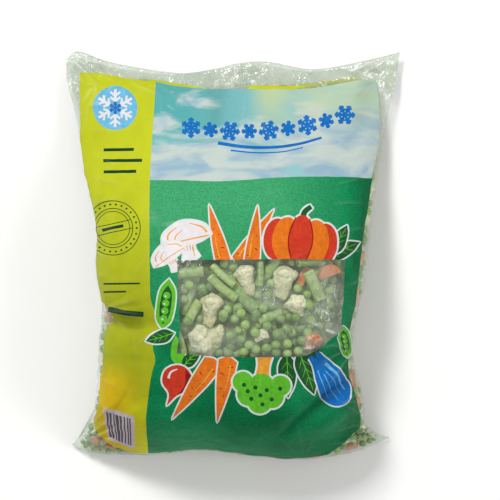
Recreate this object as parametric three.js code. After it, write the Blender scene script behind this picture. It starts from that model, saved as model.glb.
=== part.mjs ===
// A catering bag of frozen mixed vegetables: one tube of thin film, welded flat along its top and its
// bottom, filled with loose frozen pieces and lying on its back with the printed front facing up.
// Millimetres. +X is to the right of the print, +Y towards the top weld and +Z out of the front.
// The origin is the middle of the bag's footprint, on the surface it lies on.
import * as THREE from "three";
import { mergeVertices } from "three/addons/utils/BufferGeometryUtils.js";

// Driving dimensions
const FLAT_WIDTH = 290; // the empty tube pressed flat, as its top weld still is
const LENGTH = 355; // from the lowest point of the filled end to the tips of the top corners
const DEPTH = 112; // the filled body at its thickest
const WELD_HEIGHT = 9; // the flat welded band along the top edge
const WELD_DEPTH = 1.4; // two layers of film and the air caught between them
const OPENING_HEIGHT = 27; // how far below the top edge the two layers have parted
const END_RADIUS = 46; // how roundly the contents fill the bottom end
const SEAM_HEIGHT = 2; // the bottom weld, tucked under the filled end
const RESTING_SHARE = 0.6; // how much of the width lies flat on the table

const HALF_WIDTH = FLAT_WIDTH / 2;
const HALF_LENGTH = LENGTH / 2;

// The outline seen from the front. Each edge is a few stations that a smooth curve passes through.
// Side edges: [distance along the bag, distance across it], both from its middle.
const LEFT_EDGE = [
  [-0.924 * HALF_LENGTH, -0.965 * HALF_WIDTH], // the tip of the left bottom corner
  [-0.87 * HALF_LENGTH, -0.91 * HALF_WIDTH],
  [-0.79 * HALF_LENGTH, -0.845 * HALF_WIDTH],
  [-0.68 * HALF_LENGTH, -0.812 * HALF_WIDTH],
  [-0.45 * HALF_LENGTH, -0.795 * HALF_WIDTH],
  [-0.26 * HALF_LENGTH, -0.775 * HALF_WIDTH], // the pinch beside the window
  [-0.1 * HALF_LENGTH, -0.808 * HALF_WIDTH],
  [0.12 * HALF_LENGTH, -0.812 * HALF_WIDTH],
  [0.42 * HALF_LENGTH, -0.89 * HALF_WIDTH],
  [0.66 * HALF_LENGTH, -0.935 * HALF_WIDTH],
  [0.85 * HALF_LENGTH, -0.995 * HALF_WIDTH],
  [0.955 * HALF_LENGTH, -0.998 * HALF_WIDTH],
];
const RIGHT_EDGE = [
  [-0.89 * HALF_LENGTH, 0.93 * HALF_WIDTH], // the tip of the right bottom corner
  [-0.865 * HALF_LENGTH, 0.85 * HALF_WIDTH],
  [-0.82 * HALF_LENGTH, 0.79 * HALF_WIDTH],
  [-0.72 * HALF_LENGTH, 0.77 * HALF_WIDTH],
  [-0.6 * HALF_LENGTH, 0.74 * HALF_WIDTH],
  [-0.46 * HALF_LENGTH, 0.7 * HALF_WIDTH], // the waist that the diagonal folds run into
  [-0.31 * HALF_LENGTH, 0.72 * HALF_WIDTH],
  [-0.15 * HALF_LENGTH, 0.765 * HALF_WIDTH],
  [0.04 * HALF_LENGTH, 0.797 * HALF_WIDTH],
  [0.27 * HALF_LENGTH, 0.835 * HALF_WIDTH],
  [0.5 * HALF_LENGTH, 0.877 * HALF_WIDTH],
  [0.7 * HALF_LENGTH, 0.92 * HALF_WIDTH],
  [0.85 * HALF_LENGTH, 0.965 * HALF_WIDTH],
  [0.99 * HALF_LENGTH, 0.99 * HALF_WIDTH],
];
// End edges: [distance across the bag, distance along it].
const TOP_EDGE = [
  [-0.99 * HALF_WIDTH, 0.955 * HALF_LENGTH],
  [-0.93 * HALF_WIDTH, 0.995 * HALF_LENGTH],
  [-0.79 * HALF_WIDTH, 0.957 * HALF_LENGTH],
  [-0.6 * HALF_WIDTH, 0.922 * HALF_LENGTH],
  [-0.31 * HALF_WIDTH, 0.893 * HALF_LENGTH],
  [-0.12 * HALF_WIDTH, 0.912 * HALF_LENGTH],
  [0.02 * HALF_WIDTH, 0.938 * HALF_LENGTH],
  [0.19 * HALF_WIDTH, 0.947 * HALF_LENGTH],
  [0.45 * HALF_WIDTH, 0.912 * HALF_LENGTH],
  [0.63 * HALF_WIDTH, 0.925 * HALF_LENGTH],
  [0.82 * HALF_WIDTH, 0.957 * HALF_LENGTH],
  [0.99 * HALF_WIDTH, 0.99 * HALF_LENGTH],
];
const BOTTOM_EDGE = [
  [-0.965 * HALF_WIDTH, -0.924 * HALF_LENGTH],
  [-0.92 * HALF_WIDTH, -0.95 * HALF_LENGTH],
  [-0.8 * HALF_WIDTH, -0.967 * HALF_LENGTH],
  [-0.5 * HALF_WIDTH, -0.975 * HALF_LENGTH],
  [-0.17 * HALF_WIDTH, -0.955 * HALF_LENGTH],
  [0.11 * HALF_WIDTH, -0.98 * HALF_LENGTH],
  [0.4 * HALF_WIDTH, -1 * HALF_LENGTH],
  [0.63 * HALF_WIDTH, -0.977 * HALF_LENGTH],
  [0.78 * HALF_WIDTH, -0.945 * HALF_LENGTH],
  [0.88 * HALF_WIDTH, -0.908 * HALF_LENGTH],
  [0.93 * HALF_WIDTH, -0.89 * HALF_LENGTH],
];

// Height of the front above the table down the middle: [distance along the bag, height].
const CREST = [
  [-1 * HALF_LENGTH, 0.78 * DEPTH],
  [-0.8 * HALF_LENGTH, 0.86 * DEPTH],
  [-0.58 * HALF_LENGTH, 0.96 * DEPTH],
  [-0.3 * HALF_LENGTH, 1 * DEPTH],
  [-0.02 * HALF_LENGTH, 0.94 * DEPTH],
  [0.24 * HALF_LENGTH, 0.76 * DEPTH],
  [0.5 * HALF_LENGTH, 0.49 * DEPTH],
  [0.7 * HALF_LENGTH, 0.27 * DEPTH],
  [0.84 * HALF_LENGTH, 0.11 * DEPTH],
  [0.93 * HALF_LENGTH, 0.035 * DEPTH],
  [1 * HALF_LENGTH, 0.02 * DEPTH],
];

// The large folds of the front, from one end to the other. lift is positive for a ridge and negative
// for a valley, and reach is how far the fold spreads to each side of its line.
const FOLDS = [
  { name: "left pinch", from: [-124, -48], to: [-66, -56], reach: 9, lift: -9 },
  { name: "bulge under the pinch", from: [-108, -72], to: [-74, -74], reach: 15, lift: 6 },
  { name: "waist fold", from: [112, -72], to: [70, -92], reach: 8, lift: -10 },
  { name: "long diagonal valley", from: [106, -98], to: [34, -156], reach: 11, lift: -10 },
  { name: "diagonal ridge", from: [112, -86], to: [46, -138], reach: 11, lift: 7 },
  { name: "lower diagonal ridge", from: [108, -122], to: [64, -168], reach: 12, lift: 7 },
  { name: "left corner valley", from: [-126, -150], to: [-78, -118], reach: 10, lift: -7 },
  { name: "neck valley", from: [-12, 150], to: [-22, 62], reach: 13, lift: -5 },
  { name: "neck ridge", from: [22, 152], to: [8, 70], reach: 15, lift: 4 },
  { name: "left shoulder ridge", from: [-92, 148], to: [-78, 40], reach: 16, lift: 5 },
  { name: "right shoulder valley", from: [118, 150], to: [84, 50], reach: 14, lift: -5 },
];
const FOLD_FADING = 0.6; // share of its lift that a fold has lost at its far end

// How the film runs from side to side. side is where an edge of the bag turns under, as a share of
// the height there. A higher breadth or plumpness makes the section squarer.
const FILLED_SECTION = { breadth: 2.7, plumpness: 2, side: 0.4 };
const EMPTY_SECTION = { breadth: 2, plumpness: 1, side: 0.3 };
const CORNER_SECTION = { breadth: 1.45, plumpness: 1.7, side: 0.22 };
const CORNER_REACH = 48; // how far up the bag the thin bottom corners are felt

// How the flat top end waves up off the table.
const CURL_START = 0.72; // share of the way to the top weld
const CURL_MIDDLE = 2.5;
const CURL_CORNERS = 9;
const CURL_WAVE = 2.2;
const CURL_WAVES = 7; // radians from the middle of the weld to each end

// How finely the sheet of film is divided.
const STEPS_AROUND = 60;
const STEPS_ALONG = 70;
const END_CROWDING = 0.115; // moves rows from the middle of the bag towards its two ends

const { clamp, lerp, smoothstep } = THREE.MathUtils;

// The value at one place of a smooth curve through stations of [place, value].
function along(stations, place) {
  const last = stations.length - 1;
  const at = clamp(place, stations[0][0], stations[last][0]);
  let i = 0;
  while (i < last - 1 && at > stations[i + 1][0]) i += 1;
  const slope = (k) => {
    const before = stations[Math.max(k - 1, 0)];
    const after = stations[Math.min(k + 1, last)];
    return (after[1] - before[1]) / (after[0] - before[0]);
  };
  const step = stations[i + 1][0] - stations[i][0];
  const t = (at - stations[i][0]) / step;
  const rise = stations[i + 1][1] - stations[i][1];
  const start = slope(i) * step - rise;
  const end = slope(i + 1) * step - rise;
  return stations[i][1] + t * rise + t * (1 - t) * ((1 - t) * start - t * end);
}

// Where a point of the front or back lies in plan. across runs from -1 at the left edge to 1 at the
// right, and up from 0 at the bottom weld to 1 at the top edge.
function planAt(across, up) {
  const [bottomLeft, topLeft] = [LEFT_EDGE.at(0), LEFT_EDGE.at(-1)];
  const [bottomRight, topRight] = [RIGHT_EDGE.at(0), RIGHT_EDGE.at(-1)];
  const left = along(LEFT_EDGE, lerp(bottomLeft[0], topLeft[0], up));
  const right = along(RIGHT_EDGE, lerp(bottomRight[0], topRight[0], up));
  const side = (across + 1) / 2;
  const low = along(BOTTOM_EDGE, lerp(bottomLeft[1], bottomRight[1], side));
  const high = along(TOP_EDGE, lerp(topLeft[1], topRight[1], side));
  return new THREE.Vector2(lerp(left, right, side), lerp(low, high, up));
}

// How much the large folds raise the front at a place.
function foldLift(plan) {
  let lift = 0;
  for (const fold of FOLDS) {
    const from = new THREE.Vector2(...fold.from);
    const line = new THREE.Vector2(...fold.to).sub(from);
    const reached = clamp(plan.clone().sub(from).dot(line) / line.lengthSq(), 0, 1);
    const away = plan.distanceTo(from.addScaledVector(line, reached));
    lift += fold.lift * (1 - FOLD_FADING * reached) * Math.exp(-((away / fold.reach) ** 2));
  }
  return lift;
}

// The shape of the bag's cross-section at a place, blended from the three above.
function sectionAt(fill, fromBottom) {
  const corner = 1 - smoothstep(fromBottom, 0, CORNER_REACH);
  const blend = (key) => lerp(lerp(EMPTY_SECTION[key], FILLED_SECTION[key], fill), CORNER_SECTION[key], corner);
  return { breadth: blend("breadth"), plumpness: blend("plumpness"), side: blend("side") };
}

// How far the flat top end waves up off the table.
function curlAt(across, up) {
  const inward = Math.abs(across);
  const lifted = lerp(CURL_MIDDLE, CURL_CORNERS, inward ** 4);
  const wave = CURL_WAVE * Math.sin(CURL_WAVES * across) * (1 - inward ** 2);
  return smoothstep(up, CURL_START, 1) * (lifted + wave);
}

// Height of the film above the table: its front, or its back where the bag rests.
function heightAt(across, up, plan, isFront) {
  const fromBottom = plan.y - planAt(across, 0).y;
  const fromTop = planAt(across, 1).y - plan.y;
  const rounding = clamp(1 - fromBottom / END_RADIUS, 0, 1);
  const open = smoothstep(fromTop, WELD_HEIGHT, OPENING_HEIGHT);
  const crest = along(CREST, plan.y) * Math.sqrt(1 - rounding ** 2) * open;
  const fill = clamp(crest / DEPTH, 0, 1);
  const section = sectionAt(fill, fromBottom);

  const inward = Math.abs(across);
  const side = section.side * crest;
  const tuck = clamp((inward - RESTING_SHARE) / (1 - RESTING_SHARE), 0, 1);
  const rise = side * lerp(tuck ** 2, 1 - Math.sqrt(1 - tuck ** 2), fill);
  const seam = SEAM_HEIGHT * (1 - smoothstep(fromBottom, 0, 2 * SEAM_HEIGHT));
  const back = curlAt(across, up) + seam + rise;
  if (!isFront) return back;

  const bulge = (1 - inward ** section.breadth) ** (1 / section.plumpness);
  const body = side + (crest - side) * bulge - rise;
  const slack = clamp(fromBottom / END_RADIUS, 0, 1) * Math.sqrt(fill) * (1 - inward ** 6);
  const layers = WELD_DEPTH * clamp(Math.min(fromTop, fromBottom) / WELD_DEPTH, 0, 1);
  return back + Math.max(body + foldLift(plan) * slack, 0) + layers * Math.sqrt(1 - inward ** 2);
}

// One sheet of film wrapped round the contents, its long edges joined and its ends pressed shut.
function wrappedFilm() {
  const sheet = new THREE.PlaneGeometry(1, 1, STEPS_AROUND, STEPS_ALONG);
  const place = sheet.getAttribute("position");
  const uv = sheet.getAttribute("uv");
  for (let i = 0; i < place.count; i += 1) {
    const around = uv.getX(i);
    const row = uv.getY(i);
    const isFront = around <= 0.5;
    const across = -Math.cos(2 * Math.PI * around);
    const up = row - END_CROWDING * Math.sin(2 * Math.PI * row);
    const plan = planAt(across, up);
    const height = up <= 0 ? SEAM_HEIGHT : heightAt(across, up, plan, isFront || up >= 1);
    place.setXYZ(i, plan.x, plan.y, height);
  }
  sheet.deleteAttribute("normal");
  sheet.deleteAttribute("uv");
  const film = mergeVertices(sheet, 1e-3);
  film.computeBoundingBox();
  const middle = film.boundingBox.getCenter(new THREE.Vector3());
  film.translate(-middle.x, -middle.y, -film.boundingBox.min.z);
  film.computeVertexNormals();
  return film;
}

const filmMaterial = new THREE.MeshStandardMaterial({
  name: "printed film",
  color: new THREE.Color(0.08, 0.5, 0.28),
  roughness: 0.28,
  metalness: 0,
});

const bag = new THREE.Mesh(wrappedFilm(), filmMaterial);
bag.name = "bag";

const group = new THREE.Group();
group.name = "frozen_vegetable_bag";
group.add(bag);

export default group;
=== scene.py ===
"""A catering bag of frozen mixed vegetables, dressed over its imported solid.

The bag lies on its back with the printed front up. Its film is one tube, welded flat along the top
and the bottom, clear at the margins and in the window and printed elsewhere. Loose frozen pieces lie
wherever the clear film shows them, over a packed core that holds the film out.
+X is to the right of the print, +Y towards the top weld and +Z out of the front.
"""
from __future__ import annotations

import functools
import itertools
import logging
import math
import random
from collections.abc import Callable, Iterator, Sequence
from contextlib import contextmanager
from dataclasses import dataclass, field
from enum import Enum

import bpy
import numpy as np
from bpy.types import Material, Mesh, Node, NodeSocket, Object
from mathutils import Matrix, Vector, geometry, kdtree, noise
from mathutils.bvhtree import BVHTree

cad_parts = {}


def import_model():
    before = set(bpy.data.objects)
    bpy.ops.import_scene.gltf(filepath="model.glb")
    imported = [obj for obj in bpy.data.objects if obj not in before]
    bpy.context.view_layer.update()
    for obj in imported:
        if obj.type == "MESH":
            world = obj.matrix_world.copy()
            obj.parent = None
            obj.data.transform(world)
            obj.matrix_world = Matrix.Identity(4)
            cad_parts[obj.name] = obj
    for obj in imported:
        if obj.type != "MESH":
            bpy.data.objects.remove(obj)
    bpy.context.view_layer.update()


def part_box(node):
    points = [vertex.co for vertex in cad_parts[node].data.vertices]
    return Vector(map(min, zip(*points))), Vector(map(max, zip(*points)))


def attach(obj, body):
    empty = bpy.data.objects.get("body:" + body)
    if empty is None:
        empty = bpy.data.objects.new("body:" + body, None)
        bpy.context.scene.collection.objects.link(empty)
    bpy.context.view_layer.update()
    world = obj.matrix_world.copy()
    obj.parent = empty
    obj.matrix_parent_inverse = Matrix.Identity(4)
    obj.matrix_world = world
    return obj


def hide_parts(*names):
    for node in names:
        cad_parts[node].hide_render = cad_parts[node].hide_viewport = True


log = logging.getLogger("vegetable_bag")

MM = 0.001  # everything below is written in millimetres and used in metres
SEED = 7
Points = np.ndarray
Place = tuple[float, float]


# Modelling by hand


def deselect_all() -> None:
    """Leaves nothing selected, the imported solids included."""
    bpy.ops.object.select_all(action="DESELECT")


def make_active(thing: Object) -> None:
    """Selects one object alone and makes it the active one.

    Args:
        thing: the object.
    """
    deselect_all()
    thing.select_set(True)
    bpy.context.view_layer.objects.active = thing


@contextmanager
def edit_mode(kind: str = "FACE", whole: bool = True) -> Iterator[None]:
    """Edits the active object's mesh.

    Args:
        kind: whether its vertices, edges or faces are worked on.
        whole: whether all of it is selected first.

    Yields:
        Nothing, while the block under it runs.
    """
    bpy.ops.object.mode_set(mode="EDIT")
    bpy.ops.mesh.select_mode(type=kind)
    if whole:
        bpy.ops.mesh.select_all(action="SELECT")
    yield
    bpy.ops.object.mode_set(mode="OBJECT")


def added(shape: Callable[..., set[str]], **settings: object) -> Object:
    """Adds one of Blender's plain shapes, alone selected.

    Args:
        shape: the operator that adds it.
        settings: the operator's own values.

    Returns:
        The new object.
    """
    deselect_all()
    shape(**settings)
    return bpy.context.object


def apply_modifier(thing: Object, kind: str, **settings: object) -> None:
    """Adds a modifier to the active object and applies it at once.

    Args:
        thing: the active object.
        kind: Blender's name for the kind of modifier.
        settings: the modifier's own values.
    """
    modifier = thing.modifiers.new(kind.title(), kind)
    for name, value in settings.items():
        setattr(modifier, name, value)
    bpy.ops.object.modifier_apply(modifier=modifier.name)


def placed(name: str, places: Points, corners: Points) -> Object:
    """Makes an object of a finished mesh at the origin, and makes it the active one.

    Args:
        name: its name.
        places: rows of x, y and z.
        corners: the three corners of each triangle.

    Returns:
        The object.
    """
    mesh = bpy.data.meshes.new(name)
    mesh.from_pydata(places.tolist(), [], corners.tolist())
    thing = bpy.data.objects.new(name, mesh)
    bpy.context.scene.collection.objects.link(thing)
    make_active(thing)
    return thing


def rows_of(items: bpy.types.bpy_prop_collection, name: str, kind: type = float) -> Points:
    """Reads a value of three numbers from each vertex or face of a mesh.

    Args:
        items: the vertices or faces.
        name: Blender's name for the value.
        kind: the kind of number.

    Returns:
        A row for each.
    """
    values = np.zeros(len(items) * 3, kind)
    items.foreach_get(name, values)
    return values.reshape(-1, 3)


def give(mesh: Mesh, name: str, values: Points) -> None:
    """Gives each vertex of a mesh a value of its own, for a finish to read."""
    mesh.attributes.new(name, "FLOAT", "POINT").data.foreach_set("value", values.astype(np.float32))


def taken_apart(piece: Object) -> tuple[Points, Points]:
    """Takes the mesh of a piece and removes the piece.

    Args:
        piece: the piece.

    Returns:
        Its places, and the corners of its triangles.
    """
    mesh = piece.data
    mesh.calc_loop_triangles()
    places, corners = rows_of(mesh.vertices, "co"), rows_of(mesh.loop_triangles, "vertices", np.int32)
    bpy.data.objects.remove(piece)
    return places, corners


# Curves in the plane, in millimetres


def smooth_through(stations: Points, place: Points) -> Points:
    """The value at each place of a smooth curve through stations.

    Args:
        stations: rows of (place, value), in rising order of place.
        place: where the value is wanted.

    Returns:
        One value for each place.
    """
    at, value = stations[:, 0], stations[:, 1]
    order = np.arange(len(at))
    before, after = np.maximum(order - 1, 0), np.minimum(order + 1, len(at) - 1)
    slope = (value[after] - value[before]) / (at[after] - at[before])
    place = np.clip(place, at[0], at[-1])
    i = np.clip(np.searchsorted(at, place) - 1, 0, len(at) - 2)
    step, rise = at[i + 1] - at[i], value[i + 1] - value[i]
    share = (place - at[i]) / step
    start, end = slope[i] * step - rise, slope[i + 1] * step - rise
    return value[i] + share * rise + share * (1 - share) * ((1 - share) * start - share * end)


def edge_at(edge: Points, share: Points) -> Points:
    """The value of an edge, given as stations, at a share of the way along it."""
    return smooth_through(edge, edge[0, 0] + share * (edge[-1, 0] - edge[0, 0]))


def curve_through(points: Sequence[Place], closed: bool = False, step: float = 1.3) -> Points:
    """Even steps along a smooth curve through a few points.

    Args:
        points: the points, of which two give a straight line.
        closed: whether the last joins the first.
        step: the distance between the places.

    Returns:
        Places along the curve, with both ends where it is open.
    """
    given = np.array(points, float)
    if closed:
        given = np.vstack([given[-1], given, given[0], given[1]])
    else:
        given = np.vstack([2 * given[0] - given[1], given, 2 * given[-1] - given[-2]])
    share = np.linspace(0, 1, 24, endpoint=False)[:, None]
    spans = []
    for p, q, r, s in zip(given, given[1:], given[2:], given[3:]):
        bend = 2 * p - 5 * q + 4 * r - s
        twist = 3 * q - 3 * r + s - p
        spans.append(q + 0.5 * share * (r - p + share * (bend + share * twist)))
    dense = np.vstack([*spans, given[-2]])
    run = np.concatenate([[0], np.cumsum(np.linalg.norm(np.diff(dense, axis=0), axis=1))])
    even = np.linspace(0, run[-1], max(int(round(run[-1] / step)), 2) + 1)
    walked = np.column_stack([np.interp(even, run, dense[:, k]) for k in (0, 1)])
    return walked[:-1] if closed else walked


def outline_of(*sides: Sequence[Place], step: float = 1.3) -> Points:
    """A closed outline of smooth sides that meet at corners, each given without its first corner."""
    starts = [side[-1] for side in (sides[-1], *sides)]
    return np.vstack([curve_through([start, *side], step=step)[:-1] for start, side in zip(starts, sides)])


def polygon(*corners: Place, step: float = 1.3) -> Points:
    """A closed outline with straight sides between its corners."""
    return outline_of(*([corner] for corner in (*corners[1:], corners[0])), step=step)


def back_along(side: Sequence[Place]) -> list[Place]:
    """The way back from the end of a side, mirrored in the X axis."""
    return [(x, -y) for x, y in reversed(side[:-1])]


def oval(centre: Place, across: float, along: float = 0, step: float = 1.0) -> Points:
    """A circle or an oval.

    Args:
        centre: its middle.
        across: half its size along X.
        along: half its size along Y, or 0 for a circle.
        step: the distance between the places.

    Returns:
        Places round it.
    """
    along = along or across
    count = max(int(2 * math.pi * max(across, along) / step), 10)
    turn = np.arange(count) * 2 * math.pi / count
    return np.column_stack([centre[0] + across * np.cos(turn), centre[1] + along * np.sin(turn)])


def ribbon(points: Sequence[Place], width: float, taper: float = 1.0) -> Points:
    """The outline of a stroke of the brush along a smooth curve.

    Args:
        points: what it runs through.
        width: how wide it starts.
        taper: its width at the far end, as a share of that.

    Returns:
        Places round it.
    """
    middle = curve_through(points, step=1.2)
    ahead = np.gradient(middle, axis=0)
    aside = np.column_stack([-ahead[:, 1], ahead[:, 0]]) / np.linalg.norm(ahead, axis=1)[:, None]
    half = np.linspace(1, taper, len(middle))[:, None] * width / 2
    return np.vstack([middle + aside * half, (middle - aside * half)[::-1]])


def swollen(outline: Points, width: float) -> Points:
    """An outline moved outwards all round.

    Args:
        outline: places round a closed shape.
        width: how far each moves.

    Returns:
        As many places, further out.
    """
    ahead = np.roll(outline, -1, axis=0) - np.roll(outline, 1, axis=0)
    aside = np.column_stack([ahead[:, 1], -ahead[:, 0]])
    aside /= np.linalg.norm(aside, axis=1)[:, None] + 1e-9
    x, y = outline.T
    turning = np.sum(x * np.roll(y, -1) - np.roll(x, -1) * y)
    return outline + aside * width * math.copysign(1, turning)


def inside(outline: Points, places: Points) -> Points:
    """Which places lie inside an outline.

    Args:
        outline: places round a closed shape.
        places: the places to test.

    Returns:
        True or False for each place.
    """
    within = np.zeros(len(places), bool)
    low, high = outline.min(0), outline.max(0)
    near = np.flatnonzero(((places > low) & (places < high)).all(1))
    x, y = places[near].T
    crossed = np.zeros(len(near), bool)
    for (x0, y0), (x1, y1) in zip(outline, np.roll(outline, -1, axis=0)):
        if y0 != y1:
            crossed ^= ((y0 > y) != (y1 > y)) & (x < x0 + (y - y0) * (x1 - x0) / (y1 - y0))
    within[near] = crossed
    return within


def faded(value: Points, start: float, end: float) -> Points:
    """A smooth step from 0 at start to 1 at end, where end may be the lower one."""
    share = np.clip((value - start) / (end - start), 0, 1)
    return share * share * (3 - 2 * share)


# The camera


@dataclass(frozen=True)
class StudioCamera:
    """A long lens straight above the bag, as the photograph was taken straight at its front."""

    aim: Place = (14.6 * MM, 5.1 * MM)
    level: float = 30 * MM  # the height that the photograph's scale is measured at
    distance: float = 2.2
    frame_width: float = 429 * MM  # what the frame takes in at that height
    sensor: float = 36.0

    def drawn_in(self, seen: Points, height: Points) -> Points:
        """Where what is seen at places on the camera's level lies, on a surface of another height."""
        scale = (self.distance + self.level - height) / self.distance
        return self.aim + (seen - self.aim) * scale[:, None]

    def build(self) -> None:
        """Places the camera and makes it the scene's own."""
        data = bpy.data.cameras.new("studio_camera")
        data.lens = self.sensor * self.distance / self.frame_width
        data.sensor_width = self.sensor
        data.clip_start, data.clip_end = 0.1, 20
        camera = bpy.data.objects.new("studio_camera", data)
        camera.location = (*self.aim, self.level + self.distance)
        bpy.context.scene.collection.objects.link(camera)
        bpy.context.scene.camera = camera


# The form of the bag


@dataclass(frozen=True)
class Fold:
    """A large fold of the front, from one end to the other, in millimetres."""

    start: Place
    end: Place
    reach: float
    lift: float

    def reached(self, x: Points, y: Points) -> tuple[Points, Points]:
        """How far along the fold's line, as a share, and how far from it each place is.

        Args:
            x: places across the bag, in millimetres.
            y: places along it.

        Returns:
            The share of the way along, and the distance away.
        """
        (x0, y0), (x1, y1) = self.start, self.end
        dx, dy = x1 - x0, y1 - y0
        share = np.clip(((x - x0) * dx + (y - y0) * dy) / (dx * dx + dy * dy), 0, 1)
        return share, np.hypot(x - x0 - share * dx, y - y0 - share * dy)


class Section(Enum):
    """How the film runs from side to side: its breadth, plumpness and side, as in the solid."""

    FILLED = (2.7, 2.0, 0.4)
    EMPTY = (2.0, 1.0, 0.3)
    CORNER = (1.45, 1.7, 0.22)


@dataclass
class BagForm:
    """The outer surface of the filled bag, by the same rules as its solid.

    A place on the film is (u, v), in metres of flat film. u runs round the tube, over the front from 0
    at the left edge to flat_width at the right and on round the back. v runs up from the bottom weld.
    """

    flat_width: float = 290 * MM
    length: float = 355 * MM
    depth: float = 112 * MM
    weld_height: float = 9 * MM
    weld_depth: float = 1.4 * MM
    opening_height: float = 27 * MM
    end_radius: float = 46 * MM
    seam_height: float = 2 * MM
    resting_share: float = 0.6
    corner_reach: float = 48 * MM
    fold_fading: float = 0.6
    curl_start: float = 0.72
    curl_middle: float = 2.5 * MM
    curl_corners: float = 9 * MM
    curl_wave: float = 2.2 * MM
    curl_waves: float = 7.0
    end_wall: float = 107 * MM  # the film that goes up the round bottom end
    film_length: float = 416 * MM
    plan_rounds: int = 14  # how often the film's place is worked out again, each time closer
    sight_rounds: int = 4
    offset: Points = field(default_factory=lambda: np.zeros(3))

    # Side edges: (share of half the length along the bag, share of half the width across it).
    left_edge = np.array([
        (-0.924, -0.965), (-0.87, -0.91), (-0.79, -0.845), (-0.68, -0.812), (-0.45, -0.795),
        (-0.26, -0.775), (-0.1, -0.808), (0.12, -0.812), (0.42, -0.89), (0.66, -0.935),
        (0.85, -0.995), (0.955, -0.998),
    ])
    right_edge = np.array([
        (-0.89, 0.93), (-0.865, 0.85), (-0.82, 0.79), (-0.72, 0.77), (-0.6, 0.74), (-0.46, 0.7),
        (-0.31, 0.72), (-0.15, 0.765), (0.04, 0.797), (0.27, 0.835), (0.5, 0.877), (0.7, 0.92),
        (0.85, 0.965), (0.99, 0.99),
    ])
    # End edges: (share of half the width across the bag, share of half the length along it).
    top_edge = np.array([
        (-0.99, 0.955), (-0.93, 0.995), (-0.79, 0.957), (-0.6, 0.922), (-0.31, 0.893),
        (-0.12, 0.912), (0.02, 0.938), (0.19, 0.947), (0.45, 0.912), (0.63, 0.925),
        (0.82, 0.957), (0.99, 0.99),
    ])
    bottom_edge = np.array([
        (-0.965, -0.924), (-0.92, -0.95), (-0.8, -0.967), (-0.5, -0.975), (-0.17, -0.955),
        (0.11, -0.98), (0.4, -1.0), (0.63, -0.977), (0.78, -0.945), (0.88, -0.908), (0.93, -0.89),
    ])
    # Height down the middle: (share of half the length, share of the depth).
    crest_line = np.array([
        (-1.0, 0.78), (-0.8, 0.86), (-0.58, 0.96), (-0.3, 1.0), (-0.02, 0.94), (0.24, 0.76),
        (0.5, 0.49), (0.7, 0.27), (0.84, 0.11), (0.93, 0.035), (1.0, 0.02),
    ])
    folds = tuple(itertools.starmap(Fold, (
        ((-124, -48), (-66, -56), 9, -9), ((-108, -72), (-74, -74), 15, 6), ((112, -72), (70, -92), 8, -10),
        ((106, -98), (34, -156), 11, -10), ((112, -86), (46, -138), 11, 7), ((108, -122), (64, -168), 12, 7),
        ((-126, -150), (-78, -118), 10, -7), ((-12, 150), (-22, 62), 13, -5), ((22, 152), (8, 70), 15, 4),
        ((-92, 148), (-78, 40), 16, 5), ((118, 150), (84, 50), 14, -5),
    )))

    def __post_init__(self) -> None:
        """Brings the rules above to the bag's size."""
        along, across = self.length / 2, self.flat_width / 2
        self.left = self.left_edge * (along, across)
        self.right = self.right_edge * (along, across)
        self.top = self.top_edge * (across, along)
        self.bottom = self.bottom_edge * (across, along)
        self.crest = self.crest_line * (along, self.depth)

    def set_in(self, low: Vector, high: Vector) -> None:
        """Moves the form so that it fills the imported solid's box.

        Args:
            low: the box's lowest corner.
            high: its highest corner.
        """
        u, v = np.meshgrid(np.linspace(0, self.flat_width, 241), np.linspace(0, self.film_length, 281))
        front = self.surface(u.ravel(), v.ravel())
        middle = (front.min(0) + front.max(0)) / 2
        wanted = (np.array(low) + np.array(high)) / 2
        self.offset = np.array([wanted[0] - middle[0], wanted[1] - middle[1], low[2]])

    def sides(self, up: Points) -> tuple[Points, Points]:
        """The left and right edge at a share of the way up."""
        return edge_at(self.left, up), edge_at(self.right, up)

    def ends(self, side: Points) -> tuple[Points, Points]:
        """The bottom and top edge at a share of the way across."""
        return edge_at(self.bottom, side), edge_at(self.top, side)

    def up_of(self, v: Points) -> Points:
        """Turns lengths of film from the bottom weld into places up the bag.

        Args:
            v: the lengths.

        Returns:
            The share of the way up for each.
        """
        wall = self.end_radius / self.length
        turned = wall * (1 - np.cos(np.clip(v / self.end_wall, 0, 1) * math.pi / 2))
        straight = wall + (1 - wall) * (v - self.end_wall) / (self.film_length - self.end_wall)
        return np.where(v < self.end_wall, turned, np.minimum(straight, 1))

    def film_up(self, up: Points) -> Points:
        """Turns places up the bag into lengths of film from the bottom weld.

        Args:
            up: the shares of the way up.

        Returns:
            The length for each.
        """
        wall = self.end_radius / self.length
        turned = self.end_wall * np.arccos(np.clip(1 - up / wall, -1, 1)) / (math.pi / 2)
        straight = self.end_wall + (up - wall) / (1 - wall) * (self.film_length - self.end_wall)
        return np.where(up < wall, turned, straight)

    def fold_lift(self, x: Points, y: Points) -> Points:
        """How much the large folds raise the front at each place.

        Args:
            x: places across the bag, in metres.
            y: places along it.

        Returns:
            The lift in metres.
        """
        lift = np.zeros_like(x)
        for fold in self.folds:
            share, away = fold.reached(x / MM, y / MM)
            lift += fold.lift * MM * (1 - self.fold_fading * share) * np.exp(-((away / fold.reach) ** 2))
        return lift

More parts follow.
